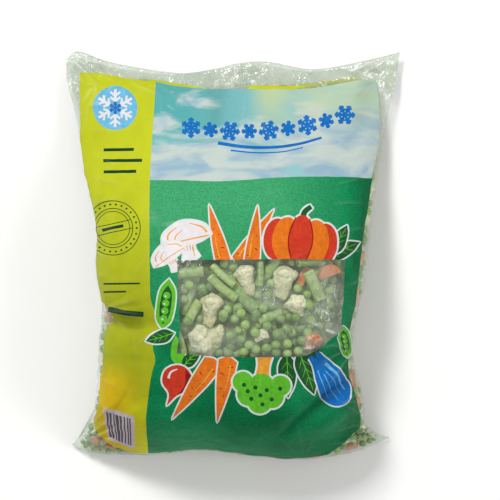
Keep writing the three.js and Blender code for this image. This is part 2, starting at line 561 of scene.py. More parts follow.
    def height(self, across: Points, up: Points, x: Points, y: Points, is_front: Points) -> Points:
        """The film's height over the table.

        Args:
            across: from -1 at the left edge to 1 at the right.
            up: from 0 at the bottom weld to 1 at the top edge.
            x: the place in plan, across the bag.
            y: the place in plan, along it.
            is_front: whether it is on the front.

        Returns:
            A height for each place.
        """
        low, high = self.ends((across + 1) / 2)
        from_bottom, from_top = y - low, high - y
        rounding = np.clip(1 - from_bottom / self.end_radius, 0, 1)
        opened = faded(from_top, self.weld_height, self.opening_height)
        crest = smooth_through(self.crest, y) * np.sqrt(1 - rounding**2) * opened
        fill = np.clip(crest / self.depth, 0, 1)
        corner = 1 - faded(from_bottom, 0, self.corner_reach)

        def blended(part: int) -> Points:
            """One value of the section, blended between its three kinds.

            Args:
                part: which one.

            Returns:
                The value at each place.
            """
            empty, filled = Section.EMPTY.value[part], Section.FILLED.value[part]
            body = empty + (filled - empty) * fill
            return body + (Section.CORNER.value[part] - body) * corner

        inward = np.abs(across)
        side = blended(2) * crest
        tuck = np.clip((inward - self.resting_share) / (1 - self.resting_share), 0, 1)
        rise = side * (tuck**2 * (1 - fill) + (1 - np.sqrt(1 - tuck**2)) * fill)
        seam = self.seam_height * (1 - faded(from_bottom, 0, 2 * self.seam_height))
        lifted = self.curl_middle + (self.curl_corners - self.curl_middle) * inward**4
        wave = self.curl_wave * np.sin(self.curl_waves * across) * (1 - inward**2)
        back = faded(up, self.curl_start, 1) * (lifted + wave) + seam + rise

        bulge = np.clip(1 - inward ** blended(0), 0, 1) ** (1 / blended(1))
        body = side + (crest - side) * bulge - rise
        slack = np.clip(from_bottom / self.end_radius, 0, 1) * np.sqrt(fill) * (1 - inward**6)
        layers = self.weld_depth * np.clip(np.minimum(from_top, from_bottom) / self.weld_depth, 0, 1)
        front = back + np.maximum(body + self.fold_lift(x, y) * slack, 0) + layers * np.sqrt(1 - inward**2)
        return np.where(is_front, front, back)

    def surface(self, u: Points, v: Points) -> Points:
        """Where places on the film lie.

        Args:
            u: how far round the tube.
            v: how far up from the bottom weld.

        Returns:
            Rows of x, y and z.
        """
        turn = u / self.flat_width
        across = np.clip(-np.cos(math.pi * turn), -1, 1)
        up = self.up_of(v)
        left, right = self.sides(up)
        low, high = self.ends((across + 1) / 2)
        x = left + (right - left) * (across + 1) / 2
        y = low + (high - low) * up
        is_front = ((turn >= 0) & (turn <= 1)) | (up >= 1)
        z = np.where(up <= 0, self.seam_height, self.height(across, up, x, y, is_front))
        return np.column_stack([x, y, z]) + self.offset

    def film_place(self, plan: Points) -> Points:
        """Where on the film of the front a place in plan lies.

        Args:
            plan: rows of x and y, of which those past a side edge go on round the back.

        Returns:
            Rows of u and v.
        """
        x, y = (plan - self.offset[:2]).T
        side, up = np.full_like(x, 0.5), np.full_like(x, 0.5)
        for _ in range(self.plan_rounds):
            left, right = self.sides(up)
            side = (x - left) / (right - left)
            low, high = self.ends(np.clip(side, 0, 1))
            up = np.clip((y - low) / (high - low), 0, 1)
        across = np.clip(2 * side - 1, -1, 1)
        u = self.flat_width * np.arccos(-across) / math.pi
        u = u - np.maximum(left - x, 0) + np.maximum(x - right, 0)
        return np.column_stack([u, self.film_up(up)])

    def seen_at(self, seen: Points, camera: StudioCamera) -> Points:
        """Where on the film of the front the camera sees each place.

        Args:
            seen: rows of x and y at the camera's level, in metres.
            camera: the camera.

        Returns:
            Rows of u and v.
        """
        film = self.film_place(seen)
        for _ in range(self.sight_rounds):
            u = np.clip(film[:, 0], 0, self.flat_width)
            height = self.surface(u, film[:, 1])[:, 2]
            film = self.film_place(camera.drawn_in(seen, height))
        return film


# Finishes


Colour = tuple[float, float, float, float]
Socket = NodeSocket
Fed = Socket | float | Colour


def srgb(red: int, green: int, blue: int) -> Colour:
    """A colour as Blender's shaders take it, from its usual three numbers up to 255."""
    shares = (c / 255 for c in (red, green, blue))
    return (*(c / 12.92 if c <= 0.04045 else ((c + 0.055) / 1.055) ** 2.4 for c in shares), 1.0)


class Paint:
    """A material being made, with the few kinds of node that the finishes share."""

    def __init__(self, name: str, **plain: float | Colour) -> None:
        """Starts a material whose shader has some plain values.

        Args:
            name: the material's name.
            plain: values for the shader's own sockets, with spaces in their names as underscores.
        """
        self.material = bpy.data.materials.new(name)
        self.material.use_nodes = True
        self.nodes = self.material.node_tree.nodes
        self.nodes.clear()
        given = [(socket.replace("_", " "), value) for socket, value in plain.items()]
        self.shader = self.node("BsdfPrincipled", *given)
        self.node("OutputMaterial", ("Surface", self.shader.outputs[0]))
        self.place = self.node("TexCoord").outputs["Object"]

    def node(self, kind: str, *given: tuple[int | str, Fed], **settings: str) -> Node:
        """Adds a node.

        Args:
            kind: Blender's name for it, without what all of them start with.
            given: sockets, each by its number or name, and the link or value that it gets.
            settings: the node's own settings.

        Returns:
            The node.
        """
        node = self.nodes.new(f"ShaderNode{kind}")
        for name, value in settings.items():
            setattr(node, name, value)
        for socket, value in given:
            self.feed(node.inputs[socket], value)
        return node

    def feed(self, socket: Socket, value: Fed) -> None:
        """Links a socket or sets it.

        Args:
            socket: the socket.
            value: an output to link it to, or a plain value.
        """
        if isinstance(value, NodeSocket):
            self.material.node_tree.links.new(value, socket)
        else:
            socket.default_value = value

    def drive(self, name: str, value: Socket) -> None:
        """Lets a pattern drive one of the shader's sockets."""
        self.feed(self.shader.inputs[name], value)

    def stretched(self, stretch: tuple[float, float, float], turn: float = 0.0) -> Socket:
        """The place on the bag, scaled on each axis and turned about Z."""
        given = (0, self.place), ("Scale", stretch), ("Rotation", (0, 0, turn))
        return self.node("Mapping", *given).outputs[0]

    def speckle(self, scale: float, detail: float = 3, warp: float = 0, at: Socket | None = None) -> Socket:
        """A soft random pattern from 0 to 1, with so many spots in a metre, and swirled by its warp."""
        given = ("Scale", scale), ("Detail", detail), ("Distortion", warp), ("Vector", at or self.place)
        return self.node("TexNoise", *given).outputs[0]

    def cells(self, scale: float, at: Socket | None = None) -> Socket:
        """How far each place is from the middle of its cell, in a pattern of random cells."""
        return self.node("TexVoronoi", ("Scale", scale), ("Vector", at or self.place)).outputs["Distance"]

    def ramp(self, value: Socket, *stops: tuple[float, Colour]) -> Socket:
        """Turns a value into a colour by a few stops.

        Args:
            value: the value.
            stops: each stop's place, from 0 to 1, and its colour.

        Returns:
            The colour.
        """
        node = self.node("ValToRGB", (0, value))
        while len(node.color_ramp.elements) < len(stops):
            node.color_ramp.elements.new(0.5)
        for element, (place, colour) in zip(node.color_ramp.elements, stops):
            element.position = place
            element.color = colour
        return node.outputs["Color"]

    def level(self, value: Socket, low: float, high: float, start: float = 0, end: float = 1) -> Socket:
        """Moves a value's range from low and high to start and end, and keeps it there."""
        return self.node("MapRange", *enumerate((value, low, high, start, end))).outputs["Result"]

    def along(self, axis: str, low: float, high: float, start: float = 0, end: float = 1) -> Socket:
        """Runs from start to end between two places on X, Y or Z, and stays there beyond them."""
        place = self.node("SeparateXYZ", (0, self.place)).outputs[axis]
        return self.level(place, low, high, start, end)

    def mix(self, share: Fed, a: Fed, b: Fed, how: str = "MIX") -> Socket:
        """Mixes a share of the second colour into the first, plainly or by another of Blender's ways."""
        return self.node("Mix", (0, share), (6, a), (7, b), data_type="RGBA", blend_type=how).outputs[2]

    def shaded(self, colour: Fed, by: Fed) -> Socket:
        """A colour darkened by a pattern."""
        return self.mix(1.0, colour, by, "MULTIPLY")

    def sum(self, a: Socket, b: Fed, how: str = "ADD") -> Socket:
        """Adds two values, or joins them another of Blender's ways."""
        return self.node("Math", (0, a), (1, b), operation=how).outputs[0]

    def product(self, first: Socket, *others: Fed) -> Socket:
        """Multiplies values, one after the other."""
        return functools.reduce(lambda a, b: self.sum(a, b, "MULTIPLY"), others, first)

    def own(self, name: str) -> Socket:
        """An attribute of the piece's own mesh."""
        return self.node("Attribute", attribute_name=name).outputs["Fac"]

    def relief(self, value: Socket, depth: float) -> None:
        """Lets a pattern raise the surface a little."""
        self.drive("Normal", self.node("Bump", ("Distance", depth), ("Height", value)).outputs[0])


class InkPaint(Paint):
    """A printed ink being made, satin under the film's faint gloss."""

    def __init__(self, name: str) -> None:
        """Starts the ink's material."""
        gloss = {"Specular_IOR_Level": 0.025, "Coat_Weight": 0.04, "Coat_Roughness": 0.14}
        super().__init__(f"print_{name}", Roughness=0.42, **gloss)

    def printed(self, colour: Socket) -> Material:
        """Prints a colour on the film, darker in the hollows of the folds as painted shade and paler along
        sharp creases as painted highlight.

        Args:
            colour: the ink's colour.

        Returns:
            The finished material.
        """
        # Painted shade: the ink is darker where the film is sunk in a fold.
        with_painted_fold_shade = self.shaded(colour, self.level(self.own("hollow"), 0, 1, 1, 0.5))
        # Painted highlight: the ink turns pale along the ridges of sharp creases.
        painted_crease_highlight = self.product(self.own("crease"), 0.07)
        self.drive("Base Color", self.mix(painted_crease_highlight, with_painted_fold_shade, srgb(226, 234, 222)))
        self.relief(self.speckle(320, 2), 0.12 * MM)
        return self.material


@dataclass(frozen=True)
class ClearFilm:
    """Bare film: thin, glossy and a little milky, and whiter where it is crumpled: milkier, and with painted
    glints as white lines along its crumples and sharp creases.
    """

    dull: Colour = srgb(190, 204, 182)
    white: Colour = srgb(246, 250, 244)
    haze: float = 0.05
    crumple: float = 5 * MM

    def material(self) -> Material:
        """The film's material.

        Returns:
            The material.
        """
        paint = Paint("clear_film", Roughness=0.13, IOR=1.5, Specular_IOR_Level=1.0)
        weight, crease = paint.own("crumple"), paint.own("crease")
        swirl = paint.speckle(60, 4, 0.6, paint.stretched((1, 0.5, 1), 0.7))
        away = paint.sum(paint.sum(swirl, -0.5), 0.0, "ABSOLUTE")
        broken = paint.level(paint.speckle(75, 2), 0.5, 0.6)
        # Painted glints: thin white lines along the crumples and the ridges of sharp creases, where the film
        # is also more opaque.
        line = paint.product(paint.level(away, 0.0, 0.02, 1, 0), broken, weight)
        white = paint.sum(line, paint.product(crease, broken), "MAXIMUM")
        facets = paint.cells(120, paint.stretched((1, 0.7, 1), -0.5))
        milky = paint.level(paint.speckle(36, 4, 0.6), 0.4, 0.68, self.haze, self.haze + 0.18)
        milky = paint.sum(milky, paint.product(weight, 0.32))
        paint.drive("Alpha", paint.sum(milky, paint.product(white, 0.5)))
        paint.drive("Base Color", paint.mix(white, self.dull, self.white))
        height = paint.sum(paint.product(away, 1.6), paint.product(facets, 0.4))
        paint.relief(paint.product(height, weight), self.crumple)
        return paint.material


@dataclass(frozen=True)
class PrintInk:
    """One plain ink on the film, faintly mottled as it is laid down."""

    name: str
    colour: Colour
    mottle: float = 0.2

    def material(self) -> Material:
        """The ink's material.

        Returns:
            The material.
        """
        ink = InkPaint(self.name)
        thinnest = 1 - self.mottle
        fine = ink.level(ink.speckle(420, 2), 0.3, 0.7, thinnest)
        broad = ink.level(ink.speckle(150, 3, 0.4, ink.stretched((1, 0.3, 1), 0.6)), 0.3, 0.7, thinnest)
        return ink.printed(ink.shaded(self.colour, ink.product(fine, broad)))


@dataclass(frozen=True)
class SidePrint:
    """The yellow band: lemon at the top, darker across the bulge below the pinch, partly as painted shade,
    and deeper and more golden towards the bottom, with soft upright streaks of painted shade for the film's
    wrinkles.
    """

    lemon: Colour = srgb(184, 192, 36)
    leaf: Colour = srgb(158, 166, 30)
    foot: Colour = srgb(198, 204, 26)
    golden: Colour = srgb(208, 176, 22)

    def material(self) -> Material:
        """The band's material.

        Returns:
            The material.
        """
        ink = InkPaint("yellow")
        # Darker across the bulge below the pinch: partly the print's own tone and partly painted shade of the
        # bulge.
        stops = (0, self.lemon), (0.5, self.leaf), (0.75, self.leaf), (1, self.foot)
        ground = ink.ramp(ink.along("Y", 0.06, -0.16), *stops)
        patch = ink.level(ink.speckle(22, 2, 0.6, ink.stretched((1, 0.6, 1))), 0.25, 0.5, 0.4)
        golden = ink.product(patch, ink.along("Y", -0.085, -0.108), ink.along("X", -0.074, -0.1, 0.1))
        # Painted shade: soft darker upright streaks stand for the shading of the film's wrinkles.
        painted_wrinkle_shade = ink.level(ink.speckle(60, 3, 0.3, ink.stretched((1, 0.12, 1))), 0.3, 0.7, 0.88)
        return ink.printed(ink.shaded(ink.mix(golden, ground, self.golden), painted_wrinkle_shade))


@dataclass(frozen=True)
class SkyPrint:
    """The sky panel: turquoise above, paler below, with soft clouds and a warm light to the right."""

    blue: Colour = srgb(82, 158, 158)
    pale: Colour = srgb(140, 182, 186)
    cloud: Colour = srgb(180, 192, 186)
    shaded: Colour = srgb(138, 168, 184)
    warm: Colour = srgb(180, 192, 144)

    def material(self) -> Material:
        """The panel's material.

        Returns:
            The material.
        """
        ink = InkPaint("sky")
        paler = ink.sum(ink.along("X", -0.04, 0.07), ink.along("Y", 0.12, 0.07), "MAXIMUM")
        drift = ink.speckle(19, 7, 0.7, ink.stretched((0.75, 1.7, 1), -0.12))
        weight = ink.sum(drift, ink.along("Y", 0.145, 0.085, -0.09, 0.13))
        weight = ink.sum(weight, ink.along("X", 0.05, 0.11, 0, 0.1))
        folds = ink.level(ink.speckle(40, 6, 0.8, ink.stretched((0.6, 1.5, 1), 0.2)), 0.42, 0.64)
        cloud = ink.mix(folds, self.cloud, self.shaded)
        sky = ink.mix(ink.level(weight, 0.5, 0.58), ink.mix(paler, self.blue, self.pale), cloud)
        light = ink.level(ink.speckle(15, 2, 0.5, ink.stretched((1, 1.5, 1), 0.4)), 0.32, 0.6, 0.25, 0.8)
        warm = ink.product(ink.along("Y", 0.1, 0.135), ink.along("X", 0.012, 0.028), light)
        return ink.printed(ink.mix(warm, sky, self.warm))


@dataclass(frozen=True)
class FieldPrint:
    """The green panel: fresh green at the top left, deep and bluish below and at the right, a darkening that
    is painted shade where the bag curves away.
    """

    fresh: Colour = srgb(62, 157, 104)
    deep: Colour = srgb(18, 130, 80)
    dark: Colour = srgb(8, 102, 58)

    def material(self) -> Material:
        """The panel's material.

        Returns:
            The material.
        """
        ink = InkPaint("green")
        turn = ink.level(ink.speckle(14, 3, 0.5), 0.3, 0.7, -0.16, 0.16)
        # Painted shade: darker towards the bottom and the right edge, where the bag curves away from the
        # light.
        away = ink.sum(ink.along("Y", 0.055, -0.07, 0, 0.85), ink.along("X", 0.04, 0.1), "MAXIMUM")
        colour = ink.ramp(ink.sum(away, turn), (0.0, self.fresh), (0.8, self.deep), (1.0, self.dark))
        return ink.printed(ink.shaded(colour, ink.level(ink.speckle(750, 2), 0.35, 0.65, 0.74, 1.08)))


@dataclass(frozen=True)
class FrozenSkin:
    """A frozen vegetable: its own colour, uneven from piece to piece, under a little frost."""

    name: str
    dark: Colour
    light: Colour
    grain: float = 220
    frost: float = 0.35
    knobs: float = 0  # how many round knobs go in a metre
    ice: Colour = srgb(216, 220, 200)

    def material(self) -> Material:
        """The vegetable's material.

        Returns:
            The material.
        """
        paint = Paint(self.name, Roughness=0.42)
        own = paint.sum(paint.speckle(self.grain, 3), paint.own("tint"))
        colour = paint.ramp(own, (0.25, self.dark), (0.8, self.light))
        patches = paint.level(paint.speckle(75, 4, 0.4), 0.5, 0.72, 0, self.frost)
        sparkle = paint.level(paint.speckle(1400, 1), 0.6, 0.7, 0, self.frost)
        height, depth = paint.speckle(500, 3), 0.3 * MM
        if self.knobs:
            gaps = paint.cells(self.knobs)
            # Painted shade: each knob darkens towards its edge, in the gaps between the knobs, which the bump
            # also sinks.
            colour = paint.shaded(colour, paint.level(gaps, 0.3, 0.8, 1, 0.82))
            height, depth = paint.sum(height, gaps, "SUBTRACT"), 0.8 * MM
        paint.drive("Base Color", paint.mix(paint.sum(patches, sparkle, "MAXIMUM"), colour, self.ice))
        paint.relief(height, depth)
        return paint.material


@dataclass(frozen=True)
class PackedPieces:
    """The core: the same pieces in shade, too deep in the bag to be told apart."""

    kinds: tuple[tuple[float, Colour], ...] = (
        (0.3, srgb(104, 128, 62)),
        (0.5, srgb(132, 156, 84)),
        (0.62, srgb(160, 164, 108)),
        (0.75, srgb(158, 116, 72)),
    )

    def material(self) -> Material:
        """The core's material.

        Returns:
            The material.
        """
        paint = Paint("packed_core", Roughness=0.6)
        cells = paint.cells(95)
        kinds = paint.ramp(paint.speckle(48, 2), *self.kinds)
        paint.drive("Base Color", paint.shaded(kinds, paint.level(cells, 0.1, 0.75, 1, 0.6)))
        paint.relief(paint.product(cells, -1.0), 2.5 * MM)
        return paint.material


class Area(Enum):
    """The fields that the film is divided into, each with its own finish."""

    CLEAR = ClearFilm()
    SIDE = SidePrint()
    SKY = SkyPrint()
    FIELD = FieldPrint()
    LINE = PrintInk("pale", srgb(206, 214, 212), 0.08)
    ORANGE = PrintInk("orange", srgb(228, 118, 34))
    AMBER = PrintInk("amber", srgb(234, 160, 60))
    RED = PrintInk("red", srgb(206, 62, 40))
    WINE = PrintInk("dark_red", srgb(140, 34, 26))
    LIME = PrintInk("bright_green", srgb(98, 190, 48))
    LEAF = PrintInk("leaf_green", srgb(34, 88, 46))
    BLUE = PrintInk("blue", srgb(26, 112, 190))
    AQUA = PrintInk("light_blue", srgb(112, 186, 224))
    BOTTLE = PrintInk("dark_green", srgb(22, 66, 44))
    PAPER = PrintInk("white", srgb(216, 212, 214), 0.05)
    GREY = PrintInk("grey", srgb(84, 80, 88), 0.05)
    LABEL = PrintInk("label", srgb(192, 180, 182), 0.08)


# The print


@dataclass(frozen=True)
class Patch:
    """One field of the print: a closed outline and the ink inside it."""

    outline: Points
    area: Area


Patches = list[Patch]


def moved(patches: Sequence[Patch], to: Place, turn: float = 0.0, scale: float = 1.0) -> Patches:
    """Copies of patches, scaled, turned and set down elsewhere.

    Args:
        patches: what to copy, drawn about its own middle.
        to: where that middle goes.
        turn: their turn, in degrees.
        scale: their scale.

    Returns:
        The copies.
    """
    c, s = math.cos(math.radians(turn)) * scale, math.sin(math.radians(turn)) * scale
    spin = np.array([(c, s), (-s, c)])
    return [Patch(patch.outline @ spin + to, patch.area) for patch in patches]


def round_about(patches: Sequence[Patch], count: int, start: float = 0.0) -> Patches:
    """Copies of a figure, turned about its own middle in even steps."""
    return [patch for k in range(count) for patch in moved(patches, (0, 0), start + k * 360 / count)]


def inks(area: Area, *outlines: Points) -> Patches:
    """Outlines filled with one ink."""
    return [Patch(outline, area) for outline in outlines]


def strokes(area: Area, *lines: tuple[Sequence[Place] | float, ...]) -> Patches:
    """Strokes of one ink, each by its points, its width and, where it has one, its taper."""
    return inks(area, *itertools.starmap(ribbon, lines))


@dataclass(frozen=True)
class Ornaments:
    """Simple figures for the print, each drawn about its own middle, in millimetres."""

    line: float = 1.3  # the pale line round each vegetable

    def lined(self, patches: Patches, bodies: int = 1) -> Patches:
        """Puts a pale line round a figure's large parts, of which there are so many and which come first."""
        rims = (swollen(patch.outline, self.line) for patch in patches[:bodies])
        return inks(Area.LINE, *rims) + patches

    def leaf(self, length: float, width: float, area: Area = Area.LEAF) -> Patches:
        """A pointed leaf with a midrib and veins, from its stalk at the middle towards +X.

        Args:
            length: its length.
            width: its width.
            area: its ink.

        Returns:
            Its patches.
        """
        half = width / 2
        edge = [(0.3 * length, half), (0.7 * length, 0.8 * half), (length, 0)]
        rib = [(0.04 * length, 0), (0.5 * length, 0.4), (0.9 * length, 0)]
        veins = (
            ([(x * length, 0), ((x + 0.16) * length, side * 0.62 * half)], 0.6, 0.5)
            for x, side in itertools.product((0.22, 0.42, 0.6), (1, -1))
        )
        blade = outline_of(edge, [*back_along(edge), (0, 0)])
        return inks(area, blade) + strokes(Area.LIME, (rib, 0.9, 0.5), *veins)

    def carrot(self, length: float, width: float) -> Patches:
        """A carrot from its crown at the middle towards +X.

        Args:
            length: its length.
            width: its width at the crown.

        Returns:
            Its patches.
        """
        half = width / 2
        edge = [(0.35 * length, 0.84 * half), (0.7 * length, 0.44 * half), (length, 0)]
        body = outline_of([(-1.5, 0), (2, half)], edge, [*back_along(edge), (2, -half)])
        bands = (
            ([(x * length, side * (0.8 - x) * half), ((x + 0.02) * length, side * 0.15 * half)], 1.0, 0.5)
            for x, side in ((0.12, 1), (0.24, -1), (0.36, 1), (0.47, -1), (0.58, 1))
        )
        shine = [(x * length, y * half) for x, y in ((0.1, 0.35), (0.3, 0.36), (0.5, 0.2))]
        marks = strokes(Area.WINE, *bands) + strokes(Area.AMBER, (shine, 1.6, 0.3))
        return self.lined(inks(Area.ORANGE, body)) + marks

    def radish(self) -> Patches:
        """A round radish with its root below it and two leaves above.

        Returns:
            Its patches, about its own middle.
        """
        body = outline_of([
            (-3, -12), (-10, -5), (-10.5, 4), (-4, 10), (4, 10), (10.5, 4), (10, -5), (3, -12), (-2, -21),
        ])
        shade = outline_of([(10, 4), (9.4, -5), (3, -11.5)], [(6.5, -3), (4, 9)])
        leaves = moved(self.leaf(24, 10, Area.LIME), (-1, 9), 112) + moved(self.leaf(21, 9), (1, 9), 62)
        rims = (swollen(leaf.outline, self.line) for leaf in leaves if leaf.area is Area.LEAF)
        return [
            *inks(Area.LINE, *rims),
            *leaves,
            *self.lined(inks(Area.RED, body)),
            *inks(Area.WINE, shade),
            *strokes(Area.LINE, ([(-6.5, -1), (-6, 4), (-2, 7.4)], 1.9, 0.4)),
        ]

    def mushroom(self) -> Patches:
        """A button mushroom seen from the side.

        Returns:
            Its patches, about its own middle.
        """
        rim = [(10, -4), (0, -4.8), (-10, -4), (-19, -1)]
        cap = outline_of([(-15, 8), (0, 13.5), (15, 8), (19, -1)], rim)
        stem = outline_of([(-4.5, -9), (-6.5, -15)], [(0, -17), (6.5, -15)], [(4.5, -9), (5, -2)], [(-5, -2)])
        return self.lined(inks(Area.PAPER, stem, cap), 2) + strokes(
            Area.AMBER,
            *(([(x, -5.4), (x * 0.75, -9)], 0.7, 0.6) for x in (-3.6, -1.2, 1.2, 3.6)),
            ([(-14, 2), (-12, 6.5), (-5, 10)], 1.4, 0.4),
            ([(-9, 0), (-7, 4), (-1, 7)], 1.2, 0.4),
            ([(16, 1), (13, 6), (5, 10.5)], 1.6, 0.4),
            ([(-17, -1.6), (0, -1), (17, -1.6)], 1.0),
            ([(3, -7), (3, -14)], 1.2, 0.5),
        )

    def aubergine(self) -> Patches:
        """An aubergine from its cap at the middle towards +X.

        Returns:
            Its patches, about its own middle.
        """
        body = curve_through(
            [(0, 4), (14, 8), (30, 13), (46, 14), (57, 6), (57, -6), (46, -13), (30, -11), (14, -6), (0, -4)],
            closed=True,
        )
        stalk = ribbon([(-1, 0), (-6, 1), (-11, 4)], 3.4, 0.8)
        cap = outline_of([(-2, 5), (9, 8.5)], [(6, 4), (12, 1)], [(6, -2), (8, -7.5)], [(-2, -5), (-3, 0)])
        shines = strokes(
            Area.AQUA,
            ([(18, 5), (34, 9), (48, 8)], 3.2, 0.3),
            ([(20, -4), (34, -6.5), (48, -8)], 1.0, 0.4),
            ([(26, -1), (40, -2), (53, -2)], 0.9, 0.4),
            ([(24, 2), (38, 4), (50, 3)], 0.8, 0.4),
        )
        return self.lined(inks(Area.BLUE, body) + inks(Area.LEAF, stalk), 2) + shines + inks(Area.LEAF, cap)

    def broccoli(self) -> Patches:
        """A head of broccoli on its stalk.

        Returns:
            Its patches, about its own middle.
        """
        stalk = outline_of([(-4, -9), (-5.5, -17)], [(0, -18.5), (5.5, -17)], [(4, -9), (5, 0)], [(-5, 0)])
        heads = ((-13, 3), 7), ((13, 3), 7), ((-8, 11), 8), ((8, 11), 8), ((0, 15), 8.5), ((0, 5), 9)
        tufts = (-13, 5), (-8, 13), (-2, 17), (6, 14), (12, 5), (-4, 7), (4, 6), (0, 11), (9, 9)
        body = inks(Area.AMBER, stalk) + inks(Area.LIME, *itertools.starmap(oval, heads))
        return self.lined(body, len(body)) + inks(Area.LEAF, *(oval(tuft, 1.5, step=1.2) for tuft in tufts))

    def pod(self) -> Patches:
        """An open pea pod with a row of peas.

        Returns:
            Its patches, about its own middle.
        """
        shell = outline_of([(-12, 8), (12, 8), (24, 1)], [(12, -6.5), (-12, -6.5), (-23, 1)])
        hollow = outline_of([(-9, 5.4), (9, 5.4), (18, 1)], [(9, -3.6), (-9, -3.6), (-18, 1)])
        row = (-12.5, -5.5, 1.5, 8.5)
        peas = inks(Area.LIME, *(oval((x, 1), 3.3) for x in row))
        shines = inks(Area.LINE, *(oval((x - 0.9, 2.1), 0.9, step=0.9) for x in row))
        return self.lined(inks(Area.LIME, shell)) + inks(Area.LEAF, hollow) + peas + shines

    def pumpkin(self) -> Patches:
        """A ribbed pumpkin with a short stalk.

        Returns:
            Its patches, about its own middle.
        """
        outer, inner, middle = (17, 9, Area.RED), (10, 10, Area.ORANGE), (0, 9, Area.RED)
        ribs = [
            Patch(oval((side * x, -x * 0.08), width, 17.5 - x * 0.18), area)
            for (x, width, area), side in ((outer, -1), (outer, 1), (inner, -1), (inner, 1), (middle, 1))
        ]
        seams = (([(side * 5, 15.5), (side * 8.6, 0), (side * 5, -15.5)], 0.8) for side in (-1, 1))
        body = inks(Area.LEAF, ribbon([(0, 15), (1, 20), (5, 24)], 4.2, 0.8)) + ribs
        return self.lined(body, len(body)) + strokes(Area.WINE, *seams)

    def flake(self, size: float, width: float, area: Area) -> Patches:
        """A snow crystal with six branched arms.

        Args:
            size: how far its arms reach.
            width: how wide they are.
            area: its ink.

        Returns:
            Its patches.
        """
        twigs = (
            ([(x * size, 0), ((x + 0.2) * size, side * 0.26 * size)], 0.8 * width)
            for x, side in itertools.product((0.36, 0.64), (1, -1))
        )
        return round_about(strokes(area, ([(-0.1 * size, 0), (size, 0)], width), *twigs), 6, 30)

    def ring(self, radius: float, width: float) -> Patches:
        """A thin ring with the side band's own ink inside it."""
        rim, hole = (oval((0, 0), size, step=1.4) for size in (radius, radius - width))
        return inks(Area.BOTTLE, rim) + inks(Area.SIDE, hole)


